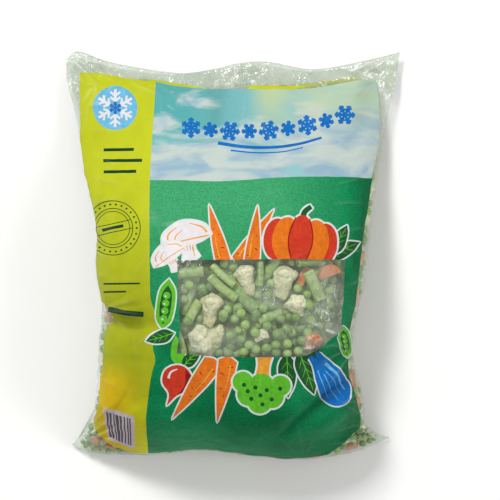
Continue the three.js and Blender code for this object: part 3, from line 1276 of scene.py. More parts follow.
@dataclass
class PrintLayout:
    """What is printed where. Places are in millimetres from the bag's middle, as the camera sees them."""

    form: BagForm
    camera: StudioCamera
    ornaments: Ornaments = Ornaments()
    foot: float = 25 * MM  # flat film left bare along the bottom weld
    head: float = 3 * MM  # and along the top edge at least
    back_foot: float = 30 * MM
    back_brim: tuple[Place, ...] = ((-106, 152), (-66, 151), (-24, 143), (16, 146.6), (60, 148), (108, 154))
    label: tuple[Place, ...] = ((-111.5, -130), (-85, -137.5), (-84.3, -166), (-108, -158))

    def panels(self) -> Patches:
        """The three large fields of the front, and the slivers of the back that show above the sky.

        Returns:
            Patches in millimetres, as the camera sees them.
        """
        side = outline_of(
            [(-113.3, 156.7), (-91.4, 152.5), (-66.2, 149.3)],
            [(-71.3, 65), (-71.6, 5), (-70.8, -35), (-66.6, -48), (-63.3, -59), (-65.4, -68), (-68.8, -78),
             (-66.7, -89), (-69.8, -101), (-72.3, -118), (-74.6, -141), (-71.8, -180)],
            [(-84, -170), (-103.3, -163), (-115.8, -154.4)],
            [(-119.5, -142), (-116.7, -130.4), (-114.5, -125)],
            [(-115, -117), (-112.4, -97), (-110.7, -73), (-109, -61)],
            [(-105, -55), (-105.5, -48), (-112, -40), (-124, -36)],
            [(-128, 0), (-133, 40), (-135, 70)],
            [(-131.4, 100), (-131.2, 130), (-131.6, 157.4)],
        )
        sky = outline_of(
            [(-47.5, 145.7), (-14.8, 143.5), (14.6, 143), (60.9, 143.6), (83.2, 146.3), (110.3, 151.6),
             (122.4, 151.1)],
            [(125.6, 125), (125, 98), (119.1, 66.6)],
            [(112, 58)],
            [(-84, 58)],
            [(-78, 140)],
            [(-66.2, 149.3)],
        )
        meadow = outline_of(
            [(-47.5, 65.2), (-14.8, 64.1), (14.6, 65.7), (43.6, 67.8), (81.9, 68.2), (119.1, 66.6)],
            [(118.8, 60), (111.5, 13.7), (106.4, -32.6), (100, -65), (98.2, -77)],
            [(100, -98), (107.2, -128), (109.5, -139), (108.1, -148.4)],
            [(98.3, -158.3), (84.6, -168.5), (64, -184)],
            [(-84, -184)],
            [(-84, 65)],
        )
        slivers = (
            outline_of([(-47, 147.8), (-20, 144)], [(-72, 136), (-72, 151.5)]),
            outline_of([(60, 146.4), (83, 149.2), (108, 153.2)], [(15, 138), (15, 146)]),
        )
        ground = inks(Area.SKY, sky) + inks(Area.FIELD, meadow)
        return inks(Area.SIDE, *slivers) + ground + inks(Area.SIDE, side)

    def vegetables(self) -> Patches:
        """Painted vegetables round the window, each by where it goes, its turn and its scale.

        Returns:
            Patches in millimetres, as the camera sees them.
        """
        draw = self.ornaments
        figures = (
            (draw.lined(draw.leaf(34, 13)), (78, -2), 24),
            (draw.lined(draw.leaf(30, 12)), (84, 0), 62),
            (draw.carrot(56, 14), (4, -6), 56),
            (draw.carrot(50, 13), (16, -6), 84),
            (draw.carrot(52, 13), (-8, -6), 104),
            (draw.pumpkin(), (58, 14), -6, 1.22),
            (draw.mushroom(), (-40, 15), 14, 1.15),
            (draw.mushroom(), (-55, 0), 34, 0.85),
            (draw.pod(), (-57, -42), 82, 0.95),
            (draw.lined(draw.leaf(26, 11)), (-50, -66), 196),
            (draw.lined(draw.leaf(40, 15)), (46, -82), 272),
            (draw.lined(draw.leaf(42, 15)), (56, -80), 290),
            (draw.radish(), (-48, -106), -16, 1.15),
            (draw.carrot(62, 17), (-16, -90), 234),
            (draw.carrot(56, 16), (-4, -88), 260),
            (draw.broccoli(), (25, -106), 174, 1.25),
            (draw.aubergine(), (66, -80), 302, 0.95),
            (draw.pod(), (97, -74), 96, 0.6),
        )
        return [patch for figure in figures for patch in moved(*figure)]

    def side_figures(self) -> Patches:
        """What stands on the yellow band: plain figures where a pack carries its marks.

        Returns:
            Patches in millimetres, as the camera sees them.
        """
        draw = self.ornaments
        crystals = draw.flake(16.5, 2.3, Area.PAPER) + draw.flake(5.5, 1.5, Area.BLUE)
        emblem = inks(Area.AQUA, oval((0, 0), 19, step=1.4)) + crystals
        beads = round_about(inks(Area.BOTTLE, oval((20.3, 0), 0.9, step=0.9)), 26)
        band = (([(-x, y), (x, y)], width) for x, y, width in ((16, -3.6, 0.7), (16, 3.6, 0.7), (9, 0, 2.6)))
        stamp = [
            *draw.ring(23.6, 0.7),
            *beads,
            *draw.ring(17.2, 0.7),
            *draw.ring(14.6, 0.6),
            *moved(strokes(Area.BOTTLE, *band), (0, 0), 13),
        ]
        rows = (91, 26, 2.6), (81.6, 33, 2.6), (72.2, 28, 2.6), (-24, 31, 1.5), (-31, 19, 1.5)
        rules = (([(-111, y), (-111 + length, y + 0.4)], width) for y, length, width in rows)
        lines = strokes(Area.BOTTLE, *rules, ([(-107, -45.6), (-94, -48.6), (-77, -50.4)], 4.6))
        return moved(emblem, (-101, 127)) + lines + moved(stamp, (-103, 24)) + self.bars()

    def bars(self) -> Patches:
        """The label at the bottom left, with plain upright bars.

        Returns:
            Patches in millimetres, as the camera sees them.
        """
        left_top, right_top, right_foot, left_foot = np.array(self.label)

        def on_label(corners: Sequence[Place]) -> Points:
            """Draws straight sides between places, each a share across and down the label.

            Args:
                corners: the places.

            Returns:
                Places along the sides, in millimetres.
            """
            across, down = polygon(*corners, step=0.05).T[:, :, None]
            top = left_top + (right_top - left_top) * across
            return top + (left_foot + (right_foot - left_foot) * across - top) * down

        draws = random.Random(SEED)
        patches, at = inks(Area.LABEL, on_label([(0, 0), (1, 0), (1, 1), (0, 1)])), 0.07
        while at < 0.86:
            end = at + draws.choice((0.05, 0.07, 0.1))
            patches += inks(Area.GREY, on_label([(at, 0.12), (end, 0.12), (end, 0.93), (at, 0.93)]))
            at = end + draws.choice((0.03, 0.045, 0.06))
        return patches

    def heading(self) -> Patches:
        """A row of blue snow crystals over a sweep of blue, across the sky.

        Returns:
            Patches in millimetres, as the camera sees them.
        """
        row = curve_through([(-36, 110), (0, 107), (35, 108), (68, 113), (96, 121)], step=17)
        flakes = [self.ornaments.flake(size, 2.3, Area.BLUE) for size in (8.8, 6.6)]
        sweep = strokes(
            Area.BLUE,
            ([(-13, 97), (10, 93.6), (36, 93.4), (58, 96.4), (76, 101.5)], 3.0, 0.7),
            ([(-2, 90.6), (20, 88.6), (42, 89.4), (60, 93)], 1.4, 0.6),
        )
        return [patch for k, place in enumerate(row) for patch in moved(flakes[k % 2], place, 11 * k)] + sweep

    def window(self) -> Patches:
        """The clear window in the green panel, its lower right corner cut off by the fold.

        Returns:
            Patches in millimetres, as the camera sees them.
        """
        return inks(Area.CLEAR, outline_of(
            [(0, -3.1), (48.9, -2.7), (96.1, -3.3)],
            [(94.6, -38.6), (93.1, -56.3), (95, -62.9)],
            [(84.1, -72.1), (73.1, -80.4), (64, -85.4)],
            [(45.7, -86.9), (-7.9, -86.6), (-48.2, -83.7)],
            [(-45.6, -60), (-47.3, -30), (-47.9, -3.8)],
        ))

    def back(self, rims: Callable[[float], float]) -> Patches:
        """The print of the back: a yellow panel with a pale plain field, cut by the tube's closing line.

        Args:
            rims: moves a height on the film to the nearest point of that line.

        Returns:
            Patches in metres of flat film.
        """
        width, foot = self.form.flat_width, rims(self.back_foot)
        brim = self.form.seen_at(curve_through(self.back_brim) * MM, self.camera)
        patches = []
        for seam, mirror, half in (
            (1.5 * width, 2 * width, brim[brim[:, 0] > 0.51 * width]),
            (-0.5 * width, 0.0, brim[brim[:, 0] < 0.49 * width][::-1]),
        ):
            edge = np.column_stack([mirror - half[:, 0], half[:, 1]])
            head = rims(edge[0, 1])
            corner = edge[-1, 0], foot
            ways = [edge[-1], corner], [corner, (seam, foot)]
            side, base = (curve_through(way, step=3 * MM)[1:] for way in ways)
            patches.append(Patch(np.vstack([[(seam, head)], edge, side, base]), Area.SIDE))
            low, high, far = rims(0.3 * head), rims(0.72 * head), seam + (edge[-1, 0] - seam) * 0.7
            field_corners = (seam, low), (far, low), (far, high), (seam, high)
            patches.append(Patch(polygon(*field_corners, step=3 * MM), Area.PAPER))
        return patches

    def on_film(self, patches: Sequence[Patch]) -> Patches:
        """Lays patches on the flat film.

        Args:
            patches: patches in millimetres, as the camera sees them.

        Returns:
            The same in metres of flat film.
        """
        laid = []
        for patch in patches:
            film = self.form.seen_at(patch.outline * MM, self.camera)
            film[:, 1] = np.clip(film[:, 1], self.foot, self.form.film_length - self.head)
            laid.append(Patch(film, patch.area))
        return laid

    def patches(self, rims: Callable[[float], float]) -> Patches:
        """All the print in metres of flat film, where each patch covers those before it."""
        front = [*self.panels(), *self.vegetables(), *self.window(), *self.side_figures(), *self.heading()]
        return self.back(rims) + self.on_film(front)


# The film


def walked(start: Place, heading: float, length: float) -> Place:
    """Where a way of some length ends, from a start along a heading in degrees."""
    turn = math.radians(heading)
    return start[0] + length * math.cos(turn), start[1] + length * math.sin(turn)


@dataclass
class Creases:
    """The sharp small folds of the film, in millimetres from the bag's middle."""

    draws: random.Random
    lines: list[Fold] = field(default_factory=list)
    side_rows: int = 15

    # What a fan, a single crease and a scatter are made from, as their own methods and class say.
    fans = (
        ((-146, 176), -44, 46, 15, 56, 1.7), ((146, 177), -136, 44, 15, 54, 1.7),
        ((-18, 166), -84, 60, 7, 34, 1.2), ((30, 170), -95, 50, 5, 30, 1.0),
        ((104, -74), 190, 52, 8, 52, 1.3), ((-114, -46), -6, 40, 7, 46, 1.2),
        ((-136, -162), 38, 34, 7, 58, 1.4), ((134, -156), 150, 38, 8, 60, 1.0),
        ((60, -176), 96, 46, 6, 40, 0.5),
    )
    chosen = (
        ((-110, -54), (-72, -59), 5, -5), ((-108, -45), (-76, -49), 4, 1.4), ((-80, -74), (-66, -63), 1.4, 1),
        ((103, -99), (36, -154), 6, -4.5), ((104, -116), (88, -128), 1.6, 1.4),
        ((98, -62), (66, -85), 2.2, -1.6), ((-63, 140), (-60, 76), 5, 0.9), ((12, 146), (4, 92), 4, 0.9),
        ((-16, 140), (-14, 100), 5, -0.9),
    )
    scattered = (
        ((-135, 146), (132, 166), 60, 20, 70, 1.3), ((-141, 100), (-131, 160), 10, 80, 40, 1.2),
        ((124, 60), (136, 160), 12, 80, 40, 1.2), ((-136, -166), (-104, -140), 16, 60, 80, 1.2),
        ((100, -166), (134, -140), 16, 140, 80, 1.2), ((-110, 30), (112, 130), 16, 100, 30, 0.6),
        ((-100, -160), (100, 20), 26, 30, 70, 0.6),
    )

    def line(self, start: Place, heading: float, length: float, reach: float, lift: float) -> None:
        """Adds one crease from a start along a heading in degrees."""
        self.lines.append(Fold(start, walked(start, heading, length), reach, lift))

    def fan(self, tip: Place, heading: float, spread: float, count: int, length: float, lift: float) -> None:
        """Adds creases that spread from where film is gathered, every other one a valley.

        Args:
            tip: where they come from.
            heading: the middle one's direction, in degrees.
            spread: how far the outer ones turn from it.
            count: how many there are.
            length: the longest one's length.
            lift: the highest one's height.
        """
        for k in range(count):
            turn = heading + spread * (2 * (k + 0.5) / count - 1) + self.draws.uniform(-4, 4)
            start = walked(tip, turn, self.draws.uniform(2, 9))
            reach = self.draws.uniform(1.6, 3.2)
            run = length * self.draws.uniform(0.45, 1)
            self.line(start, turn, run, reach, (1 if k % 2 else -0.8) * lift * self.draws.uniform(0.5, 1))

    def scatter(
        self, low: Place, high: Place, count: int, heading: float, spread: float, lift: float,
    ) -> None:
        """Adds loose creases inside a rectangle.

        Args:
            low: its lower left corner.
            high: its upper right corner.
            count: how many there are.
            heading: their usual direction, in degrees.
            spread: how far they turn from it.
            lift: the highest one's height.
        """
        for _ in range(count):
            start = (self.draws.uniform(low[0], high[0]), self.draws.uniform(low[1], high[1]))
            turn = heading + self.draws.uniform(-spread, spread)
            size = lift * self.draws.uniform(-1, 1)
            self.line(start, turn, self.draws.uniform(14, 46), self.draws.uniform(1.6, 4), size)

    def gather(self) -> list[Fold]:
        """All the creases of the bag.

        Returns:
            The creases, all in one list.
        """
        for fan in self.fans:
            self.fan(*fan)
        self.lines += itertools.starmap(Fold, self.chosen)
        for patch in self.scattered:
            self.scatter(*patch)
        for k in range(self.side_rows):
            y = 150 - 21 * k
            self.line((-134 + 14 * abs(math.sin(k * 0.35)), y), self.draws.uniform(-30, 14), 26, 2.6, 0.7)
            self.line((128 - 20 * abs(math.sin(k * 0.3)), y), self.draws.uniform(165, 205), 24, 2.6, 0.7)
        return self.lines


@dataclass
class Film:
    """The whole skin of the bag, a closed tube of film with its print."""

    form: BagForm
    layout: PrintLayout
    creases: list[Fold]
    fine: float = 1.4 * MM  # steps on the front and the sides
    coarse: float = 2.9 * MM  # steps on the back
    side_wrap: float = 26 * MM  # how far round each side the fine steps go
    rim_steps: int = 208  # round half the tube
    closing_steps: int = 150  # along the closing line
    lump_size: float = 15 * MM
    lump_height: float = 0.5 * MM
    ripple_height: float = 0.3 * MM
    floor: float = 0.3 * MM  # the film's own relief never goes lower
    clearance: float = 0.55  # of the even places from the drawn ones, as a share of their step
    # Where it is crumpled, which the clear film shows by its bump, its milkiness and its painted glints: the
    # middle, across and along, the reach, and how much.
    crumpled: tuple[tuple[float, float, float, float], ...] = (
        (-138, 166, 30, 0.9), (140, 168, 30, 0.9), (-70, 160, 40, 0.35), (10, 162, 45, 0.5),
        (80, 162, 36, 0.3), (-112, -50, 16, 0.5), (108, -84, 26, 0.5), (76, -60, 19, 0.9),
        (32, -36, 15, 0.75), (82, -24, 12, 0.4), (-130, -160, 24, 0.55), (134, -152, 12, 0.8),
    )

    def rims(self) -> Points:
        """Even places along the four borders of the unrolled tube.

        Returns:
            Rows of u and v.
        """
        width, end = self.form.flat_width, self.form.film_length
        u = np.linspace(-0.5 * width, 1.5 * width, 2 * self.rim_steps + 1)
        v = np.linspace(0, end, self.closing_steps + 1)[1:-1]
        return np.vstack([
            np.column_stack([u, np.zeros_like(u)]),
            np.column_stack([np.full_like(v, u[-1]), v]),
            np.column_stack([u[::-1], np.full_like(u, end)]),
            np.column_stack([np.full_like(v, u[0]), v[::-1]]),
        ])

    def on_rim(self, v: float) -> float:
        """The height of the point of the closing line nearest to a height."""
        step = self.form.film_length / self.closing_steps
        return round(v / step) * step

    def lattice(self, step: float, reach: Callable[[Points], Points]) -> Points:
        """Even places inside the borders, in staggered rows.

        Args:
            step: the distance between them.
            reach: says of each u whether these steps are for it.

        Returns:
            Rows of u and v.
        """
        width, end = self.form.flat_width, self.form.film_length
        rows = np.arange(0.6 * step, end - 0.5 * step, step * 0.87)
        columns = np.arange(-0.5 * width + 0.6 * step, 1.5 * width - 0.5 * step, step)
        u, v = np.meshgrid(columns, rows)
        u = u + np.where(np.arange(len(rows)) % 2, 0.5, 0)[:, None] * step * 0.8
        kept = reach(u)
        return np.column_stack([u[kept], v[kept]])

    def crease_lines(self, margin: float = 2 * MM) -> list[Points]:
        """The creases as open lines on the flat film, so that its faces meet along them.

        Args:
            margin: how far the lines stay from the edges of the front.

        Returns:
            The places along each line.
        """
        ends = np.array([self.form.flat_width, self.form.film_length]) - margin
        lines = []
        for crease in self.creases:
            film = self.form.film_place(curve_through([crease.start, crease.end], step=1.6) * MM)
            kept = ((film > margin) & (film < ends)).all(1)
            if kept.sum() > 2:
                lines.append(film[kept])
        return lines

    def flat_mesh(self, patches: Sequence[Patch]) -> tuple[Points, Points]:
        """Triangles of the unrolled tube, whose edges follow every outline of the print.

        Args:
            patches: the print, in metres of flat film.

        Returns:
            The places on the flat film, and the three corners of each triangle.
        """
        loops = [self.rims(), *(patch.outline for patch in patches)]
        places, edges, count = [], [], 0
        for k, line in enumerate([*loops, *self.crease_lines()]):
            size = len(line)
            links = size if k < len(loops) else size - 1
            edges += [(count + at, count + (at + 1) % size) for at in range(links)]
            places.append(line)
            count += size
        near = kdtree.KDTree(count)
        for k, (u, v) in enumerate(np.vstack(places)):
            near.insert((u, v, 0), k)
        near.balance()

        def is_fine(u: Points) -> Points:
            """Whether a place is on the front or round its sides."""
            return (u > -self.side_wrap) & (u < self.form.flat_width + self.side_wrap)

        fine = self.fine * 1
        for step, reach in ((fine, is_fine), (self.coarse, lambda u: ~is_fine(u))):
            filling = self.lattice(step, reach)
            clear = [near.find((u, v, 0))[2] > self.clearance * step for u, v in filling]
            places.append(filling[np.array(clear)])
        flat = [Vector(place) for place in (np.vstack(places) / MM).tolist()]
        made = geometry.delaunay_2d_cdt(flat, edges, [], 0, 1e-4, False)
        return np.array([tuple(place) for place in made[0]]) * MM, np.array(made[2])

    def relief(self, places: Points, normals: Points) -> tuple[Points, Points, Points]:
        """How far the film stands out from its smooth form.

        Args:
            places: rows of x, y and z.
            normals: the way out at each.

        Returns:
            A height for each place, and how sharp its crease and how deep its hollow is, from 0 to 1, for the
            finishes' painted highlight and painted shade.
        """
        x, y = (places[:, :2] - self.form.offset[:2]).T / MM
        front = np.clip(normals[:, 2] * 3, 0, 1)
        lift, sharp, lumps, ripples = np.zeros((4, len(places)))
        for crease in self.creases:
            share, away = crease.reached(x, y)
            run = np.sin(math.pi * np.clip(share, 0.02, 0.98)) ** 0.6
            lift += crease.lift * MM * run * np.exp(-away / crease.reach) * (away < 6 * crease.reach)
            # The ridges of the creases, which the finishes turn pale as painted highlight and painted glints.
            if crease.lift > 0:
                sharp = np.maximum(sharp, crease.lift * run * np.exp(-((away / 0.8) ** 2)))
        for k, place in enumerate(places.tolist()):
            near = noise.voronoi(Vector(place) / self.lump_size)[0]
            lumps[k] = near[1] - near[0]
            ripples[k] = noise.noise(Vector(place) * 55)
        lumps = self.lump_height * (faded(lumps, 0, 0.7) - 0.5) * faded(y, 112, 60) * (2.8 - 1.8 * front)
        # How far the film is sunk in folds and creases, which the inks darken as painted shade.
        sunk = -(lift + self.form.fold_lift(x * MM, y * MM)) / MM - 2.5
        hollow = np.clip(sunk / 8, 0, 1) * front
        return lift * front + lumps + self.ripple_height * ripples, np.clip(sharp * front, 0, 1), hollow

    def crumple(self, places: Points) -> Points:
        """How crumpled the film is, from 0 to 1.

        Args:
            places: rows of x, y and z.

        Returns:
            A value for each place.
        """
        x, y = (places[:, :2] - self.form.offset[:2]).T / MM
        edges = np.maximum(faded(np.abs(x), 92, 112) * faded(y, -120, -60), faded(y, 120, 142))
        weight = 0.1 + 0.3 * edges
        for across, along, reach, most in self.crumpled:
            weight += most * np.exp(-(((x - across) ** 2 + (y - along) ** 2) / reach**2))
        return np.clip(weight, 0, 1)

    def build(self) -> Object:
        """Makes the film, closed, creased and with its finishes.

        Returns:
            The film's object.
        """
        patches = self.layout.patches(self.on_rim)
        flat, triangles = self.flat_mesh(patches)
        middles = flat[triangles].mean(1)
        areas = list(Area)
        kinds = np.zeros(len(triangles), np.int32)
        for patch in patches:
            kinds[inside(patch.outline, middles)] = areas.index(patch.area)
        film = placed("film", self.form.surface(*flat.T), triangles)
        mesh = film.data
        for area in areas:
            mesh.materials.append(area.value.material())
        mesh.polygons.foreach_set("material_index", kinds)
        with edit_mode("VERT"):
            bpy.ops.mesh.remove_doubles(threshold=2e-6)
            bpy.ops.mesh.dissolve_degenerate(threshold=1e-6)
        places, normals = rows_of(mesh.vertices, "co"), rows_of(mesh.vertex_normals, "vector")
        height, sharp, hollow = self.relief(places, normals)
        places += normals * height[:, None]
        places[:, 2] = np.maximum(places[:, 2], self.floor)
        mesh.vertices.foreach_set("co", places.ravel())
        mesh.update()
        give(mesh, "crumple", self.crumple(places))
        give(mesh, "crease", sharp)
        give(mesh, "hollow", hollow)
        bpy.ops.object.shade_smooth()
        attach(film, "root")
        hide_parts("bag")
        log.info("film: %d faces, %d materials", len(mesh.polygons), len(mesh.materials))
        return film


# The vegetables


@dataclass(frozen=True)
class Ball:
    """A round stand-in for part of a piece, by which pieces keep clear of each other."""

    place: tuple[float, float, float]
    radius: float


@dataclass(frozen=True)
class Shown:
    """A piece at a chosen place under the window, in millimetres as the camera sees it."""

    place: Place
    turn: float
    scale: float = 1.0
    depth: float = 0.5  # under the film, and the order in which the pieces are laid


@dataclass
class Vegetable:
    """One kind of frozen vegetable. All its pieces are joined in one mesh."""

    name: str
    finish: FrozenSkin
    tries: int
    most: int  # how many loose pieces there are at most
    shown: tuple[Shown, ...] = ()
    keeps_off: float = 0.0  # how deep the loose ones lie at least in the window, in millimetres
    variants: int = 3
    floor: float = 0.5 * MM  # none sinks through the film that it rests on
    uneven: float = 0.22  # how far a piece's shade is from the usual one, either way

    def model(self, variant: int) -> Object:
        """Models one piece about the origin, lying along X with its back up.

        Args:
            variant: which of the variants, from 0 up.

        Returns:
            The piece's object.
        """
        raise NotImplementedError

    def balls(self) -> list[Ball]:
        """The piece's stand-ins."""
        raise NotImplementedError

    def patterns(self) -> list[tuple[Points, Points, Points]]:
        """Models each variant and takes its places, the corners of its triangles and each place's shade."""
        meshes = [taken_apart(self.model(variant)) for variant in range(self.variants)]
        return [(places, corners, self.shade(places)) for places, corners in meshes]

    def shade(self, places: Points) -> Points:
        """How much lighter or darker each place of one piece is."""
        return np.zeros(len(places))

    def build(self, spots: Sequence[tuple[Matrix, float]], draws: random.Random) -> None:
        """Joins a copy of a piece for each spot.

        Args:
            spots: where each copy goes, as a matrix and a size.
            draws: random draws for their shades.
        """
        patterns = self.patterns()
        places, corners, shades, count = [], [], [], 0
        for k, (spot, size) in enumerate(spots):
            own, faces, shade = patterns[k % len(patterns)]
            places.append(own * size @ np.array(spot.to_3x3()).T + np.array(spot.translation))
            corners.append(faces + count)
            shades.append(shade + draws.uniform(-self.uneven, self.uneven))
            count += len(own)
        laid = np.vstack(places)
        laid[:, 2] = np.maximum(laid[:, 2], self.floor)
        heap = placed(self.name, laid, np.vstack(corners))
        give(heap.data, "tint", np.concatenate(shades))
        heap.data.materials.append(self.finish.material())
        bpy.ops.object.shade_smooth_by_angle(angle=math.radians(50))
        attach(heap, "root")
        log.info("%s: %d pieces, %d faces", self.name, len(spots), len(heap.data.polygons))


@dataclass
class Peas(Vegetable):
    """Peas, the finest and by far the most of the mixture."""

    radius: float = 4.4 * MM

    def model(self, variant: int) -> Object:
        """Models one pea, a little flattened and dimpled.

        Args:
            variant: which of the variants, from 0 up.

        Returns:
            The pea's object.
        """
        pea = added(bpy.ops.mesh.primitive_uv_sphere_add, segments=12, ring_count=8, radius=self.radius)
        with edit_mode("VERT"):
            bpy.ops.transform.resize(value=(1, 0.97 - 0.02 * variant, 0.95))
            bpy.ops.transform.vertex_random(offset=0.06 * MM * (1 + variant), seed=SEED + variant)
        return pea

    def balls(self) -> list[Ball]:
        """A pea is one ball."""
        return [Ball((0, 0, 0), self.radius)]


@dataclass
class GreenBeans(Vegetable):
    """Green beans, cut across in short lengths."""

    radius: float = 4.7 * MM
    length: float = 29 * MM

    def model(self, variant: int) -> Object:
        """Models one length of bean, bent a little, with its cut ends sunk in.

        Args:
            variant: which of the variants, from 0 up.

        Returns:
            The bean's object.
        """
        length = self.length * (1, 0.78, 1.06)[variant]
        bean = added(
            bpy.ops.mesh.primitive_cylinder_add,
            vertices=12, radius=self.radius, depth=length, rotation=(0, math.pi / 2, 0))
        bpy.ops.object.transform_apply(location=False, rotation=True, scale=False)
        mesh = bean.data
        for part in (mesh.vertices, mesh.edges):
            part.foreach_set("select", [False] * len(part))
        mesh.polygons.foreach_set("select", [abs(face.normal.x) > 0.9 for face in mesh.polygons])
        with edit_mode(whole=False):
            bpy.ops.mesh.inset(thickness=0.9 * MM, depth=0)
            bpy.ops.mesh.inset(thickness=0.5 * MM, depth=-1.1 * MM)
        with edit_mode():
            for share in (-0.42, -0.25, -0.08, 0.08, 0.25, 0.42):
                bpy.ops.mesh.bisect(plane_co=(share * length, 0, 0), plane_no=(1, 0, 0))
                bpy.ops.mesh.select_all(action="SELECT")
            bpy.ops.transform.resize(value=(1, 1, 0.86))
            bpy.ops.transform.vertex_random(offset=0.22 * MM, seed=SEED + variant)
        bend = math.radians((14, -8, 24)[variant])
        apply_modifier(bean, "SIMPLE_DEFORM", deform_method="BEND", deform_axis="Z", angle=bend)
        apply_modifier(bean, "SUBSURF", levels=1, render_levels=1)
        return bean

    def shade(self, places: Points) -> Points:
        """The cut ends are paler."""
        reach = np.abs(places[:, 0]) / np.abs(places[:, 0]).max()
        return 0.3 * (reach > 0.9) + 0.05 * np.sin(places[:, 0] / MM * 0.9)

    def balls(self) -> list[Ball]:
        """A bean is a row of balls."""
        return [Ball((x * self.length, 0, 0), self.radius) for x in (-0.4, -0.14, 0.14, 0.4)]


@dataclass
class Carrots(Vegetable):
    """Carrots, in slices, half slices and thick sticks."""

    radius: float = 11 * MM
    thickness: float = 8 * MM

    def model(self, variant: int) -> Object:
        """Models one cut of carrot with softened edges: a slice, half a slice or a stick.

        Args:
            variant: which of the variants, from 0 up.

        Returns:
            The carrot's object.
        """
        if variant == 2:
            piece = added(bpy.ops.mesh.primitive_cube_add, size=1)
            with edit_mode():
                bpy.ops.transform.resize(value=(22 * MM, 9 * MM, self.thickness))
                bpy.ops.mesh.subdivide(number_cuts=3)
        else:
            shape = bpy.ops.mesh.primitive_cylinder_add
            piece = added(shape, vertices=26, radius=self.radius, depth=self.thickness)
        if variant == 1:
            with edit_mode():
                bpy.ops.mesh.bisect(plane_co=(0, 0, 0), plane_no=(0, 1, 0), use_fill=True, clear_inner=True)
        apply_modifier(piece, "BEVEL", width=1.1 * MM, segments=2, limit_method="ANGLE")
        with edit_mode("VERT"):
            bpy.ops.transform.vertex_random(offset=0.2 * MM, seed=SEED + variant)
        return piece

    def shade(self, places: Points) -> Points:
        """The heart of a slice is paler."""
        return 0.25 * (np.hypot(places[:, 0], places[:, 1]) < 0.45 * self.radius)

    def balls(self) -> list[Ball]:
        """A slice is a small cluster of balls."""
        r, spots = self.radius, ((0, 0), (0.58, 0), (-0.58, 0), (0, 0.58), (0, -0.58))
        return [Ball((x * r, y * r, 0), 0.46 * r) for x, y in spots]


@dataclass
class Cauliflower(Vegetable):
    """Cauliflower florets: a branching pale stalk under a knobbly head."""

    radius: float = 11 * MM
    faces: int = 2800

    def model(self, variant: int) -> Object:
        """Models one floret, its stalk towards -X, from a stalk and round heads grown together.

        Args:
            variant: which of the variants, from 0 up.

        Returns:
            The floret's object.
        """
        draws = random.Random(SEED + 31 * variant)
        r = self.radius
        reach, spread = ((1.0, 1.5), (1.6, 1.05), (1.3, 0.9))[variant]
        stalk = added(
            bpy.ops.mesh.primitive_cone_add,
            vertices=14, radius1=0.4 * r, radius2=0.7 * r, depth=reach * r, location=(-0.5 * reach * r, 0, 0),
            rotation=(0, math.pi / 2, 0))
        heads = []
        for k in range(15):
            lean, turn = spread * math.sqrt((k + 0.5) / 15), k * 2.4
            place = (
                0.7 * r * math.cos(lean) - 0.1 * r,
                0.74 * r * math.sin(lean) * math.cos(turn),
                0.64 * r * math.sin(lean) * math.sin(turn),
            )
            size = {"subdivisions": 2, "radius": r * draws.uniform(0.3, 0.42)}
            heads.append(added(bpy.ops.mesh.primitive_ico_sphere_add, location=place, **size))
        make_active(stalk)
        for head in heads:
            head.select_set(True)
        bpy.ops.object.join()
        bpy.ops.object.transform_apply()
        apply_modifier(stalk, "REMESH", mode="VOXEL", voxel_size=0.9 * MM)
        for size, depth, strength in ((12 * MM, 1, 5 * MM), (5 * MM, 1, 2.6 * MM), (1.6 * MM, 2, 1.3 * MM)):
            curd = bpy.data.textures.new(f"curd_{size / MM:.0f}_{variant}", "CLOUDS")
            curd.noise_scale, curd.noise_depth = size, depth
            apply_modifier(stalk, "DISPLACE", texture=curd, strength=strength, mid_level=0.5)
        apply_modifier(stalk, "DECIMATE", ratio=min(1, self.faces / len(stalk.data.polygons) / 2))
        return stalk

    def shade(self, places: Points) -> Points:
        """The head is paler than the stalk."""
        return np.clip((places[:, 0] / self.radius + 0.4) * 0.3, -0.2, 0.25)

    def balls(self) -> list[Ball]:
        """A floret is a head, a neck and a stalk."""
        r = self.radius
        return [Ball((x * r, 0, 0), share * r) for x, share in ((0.2, 1.0), (-0.6, 0.65), (-1.2, 0.45))]


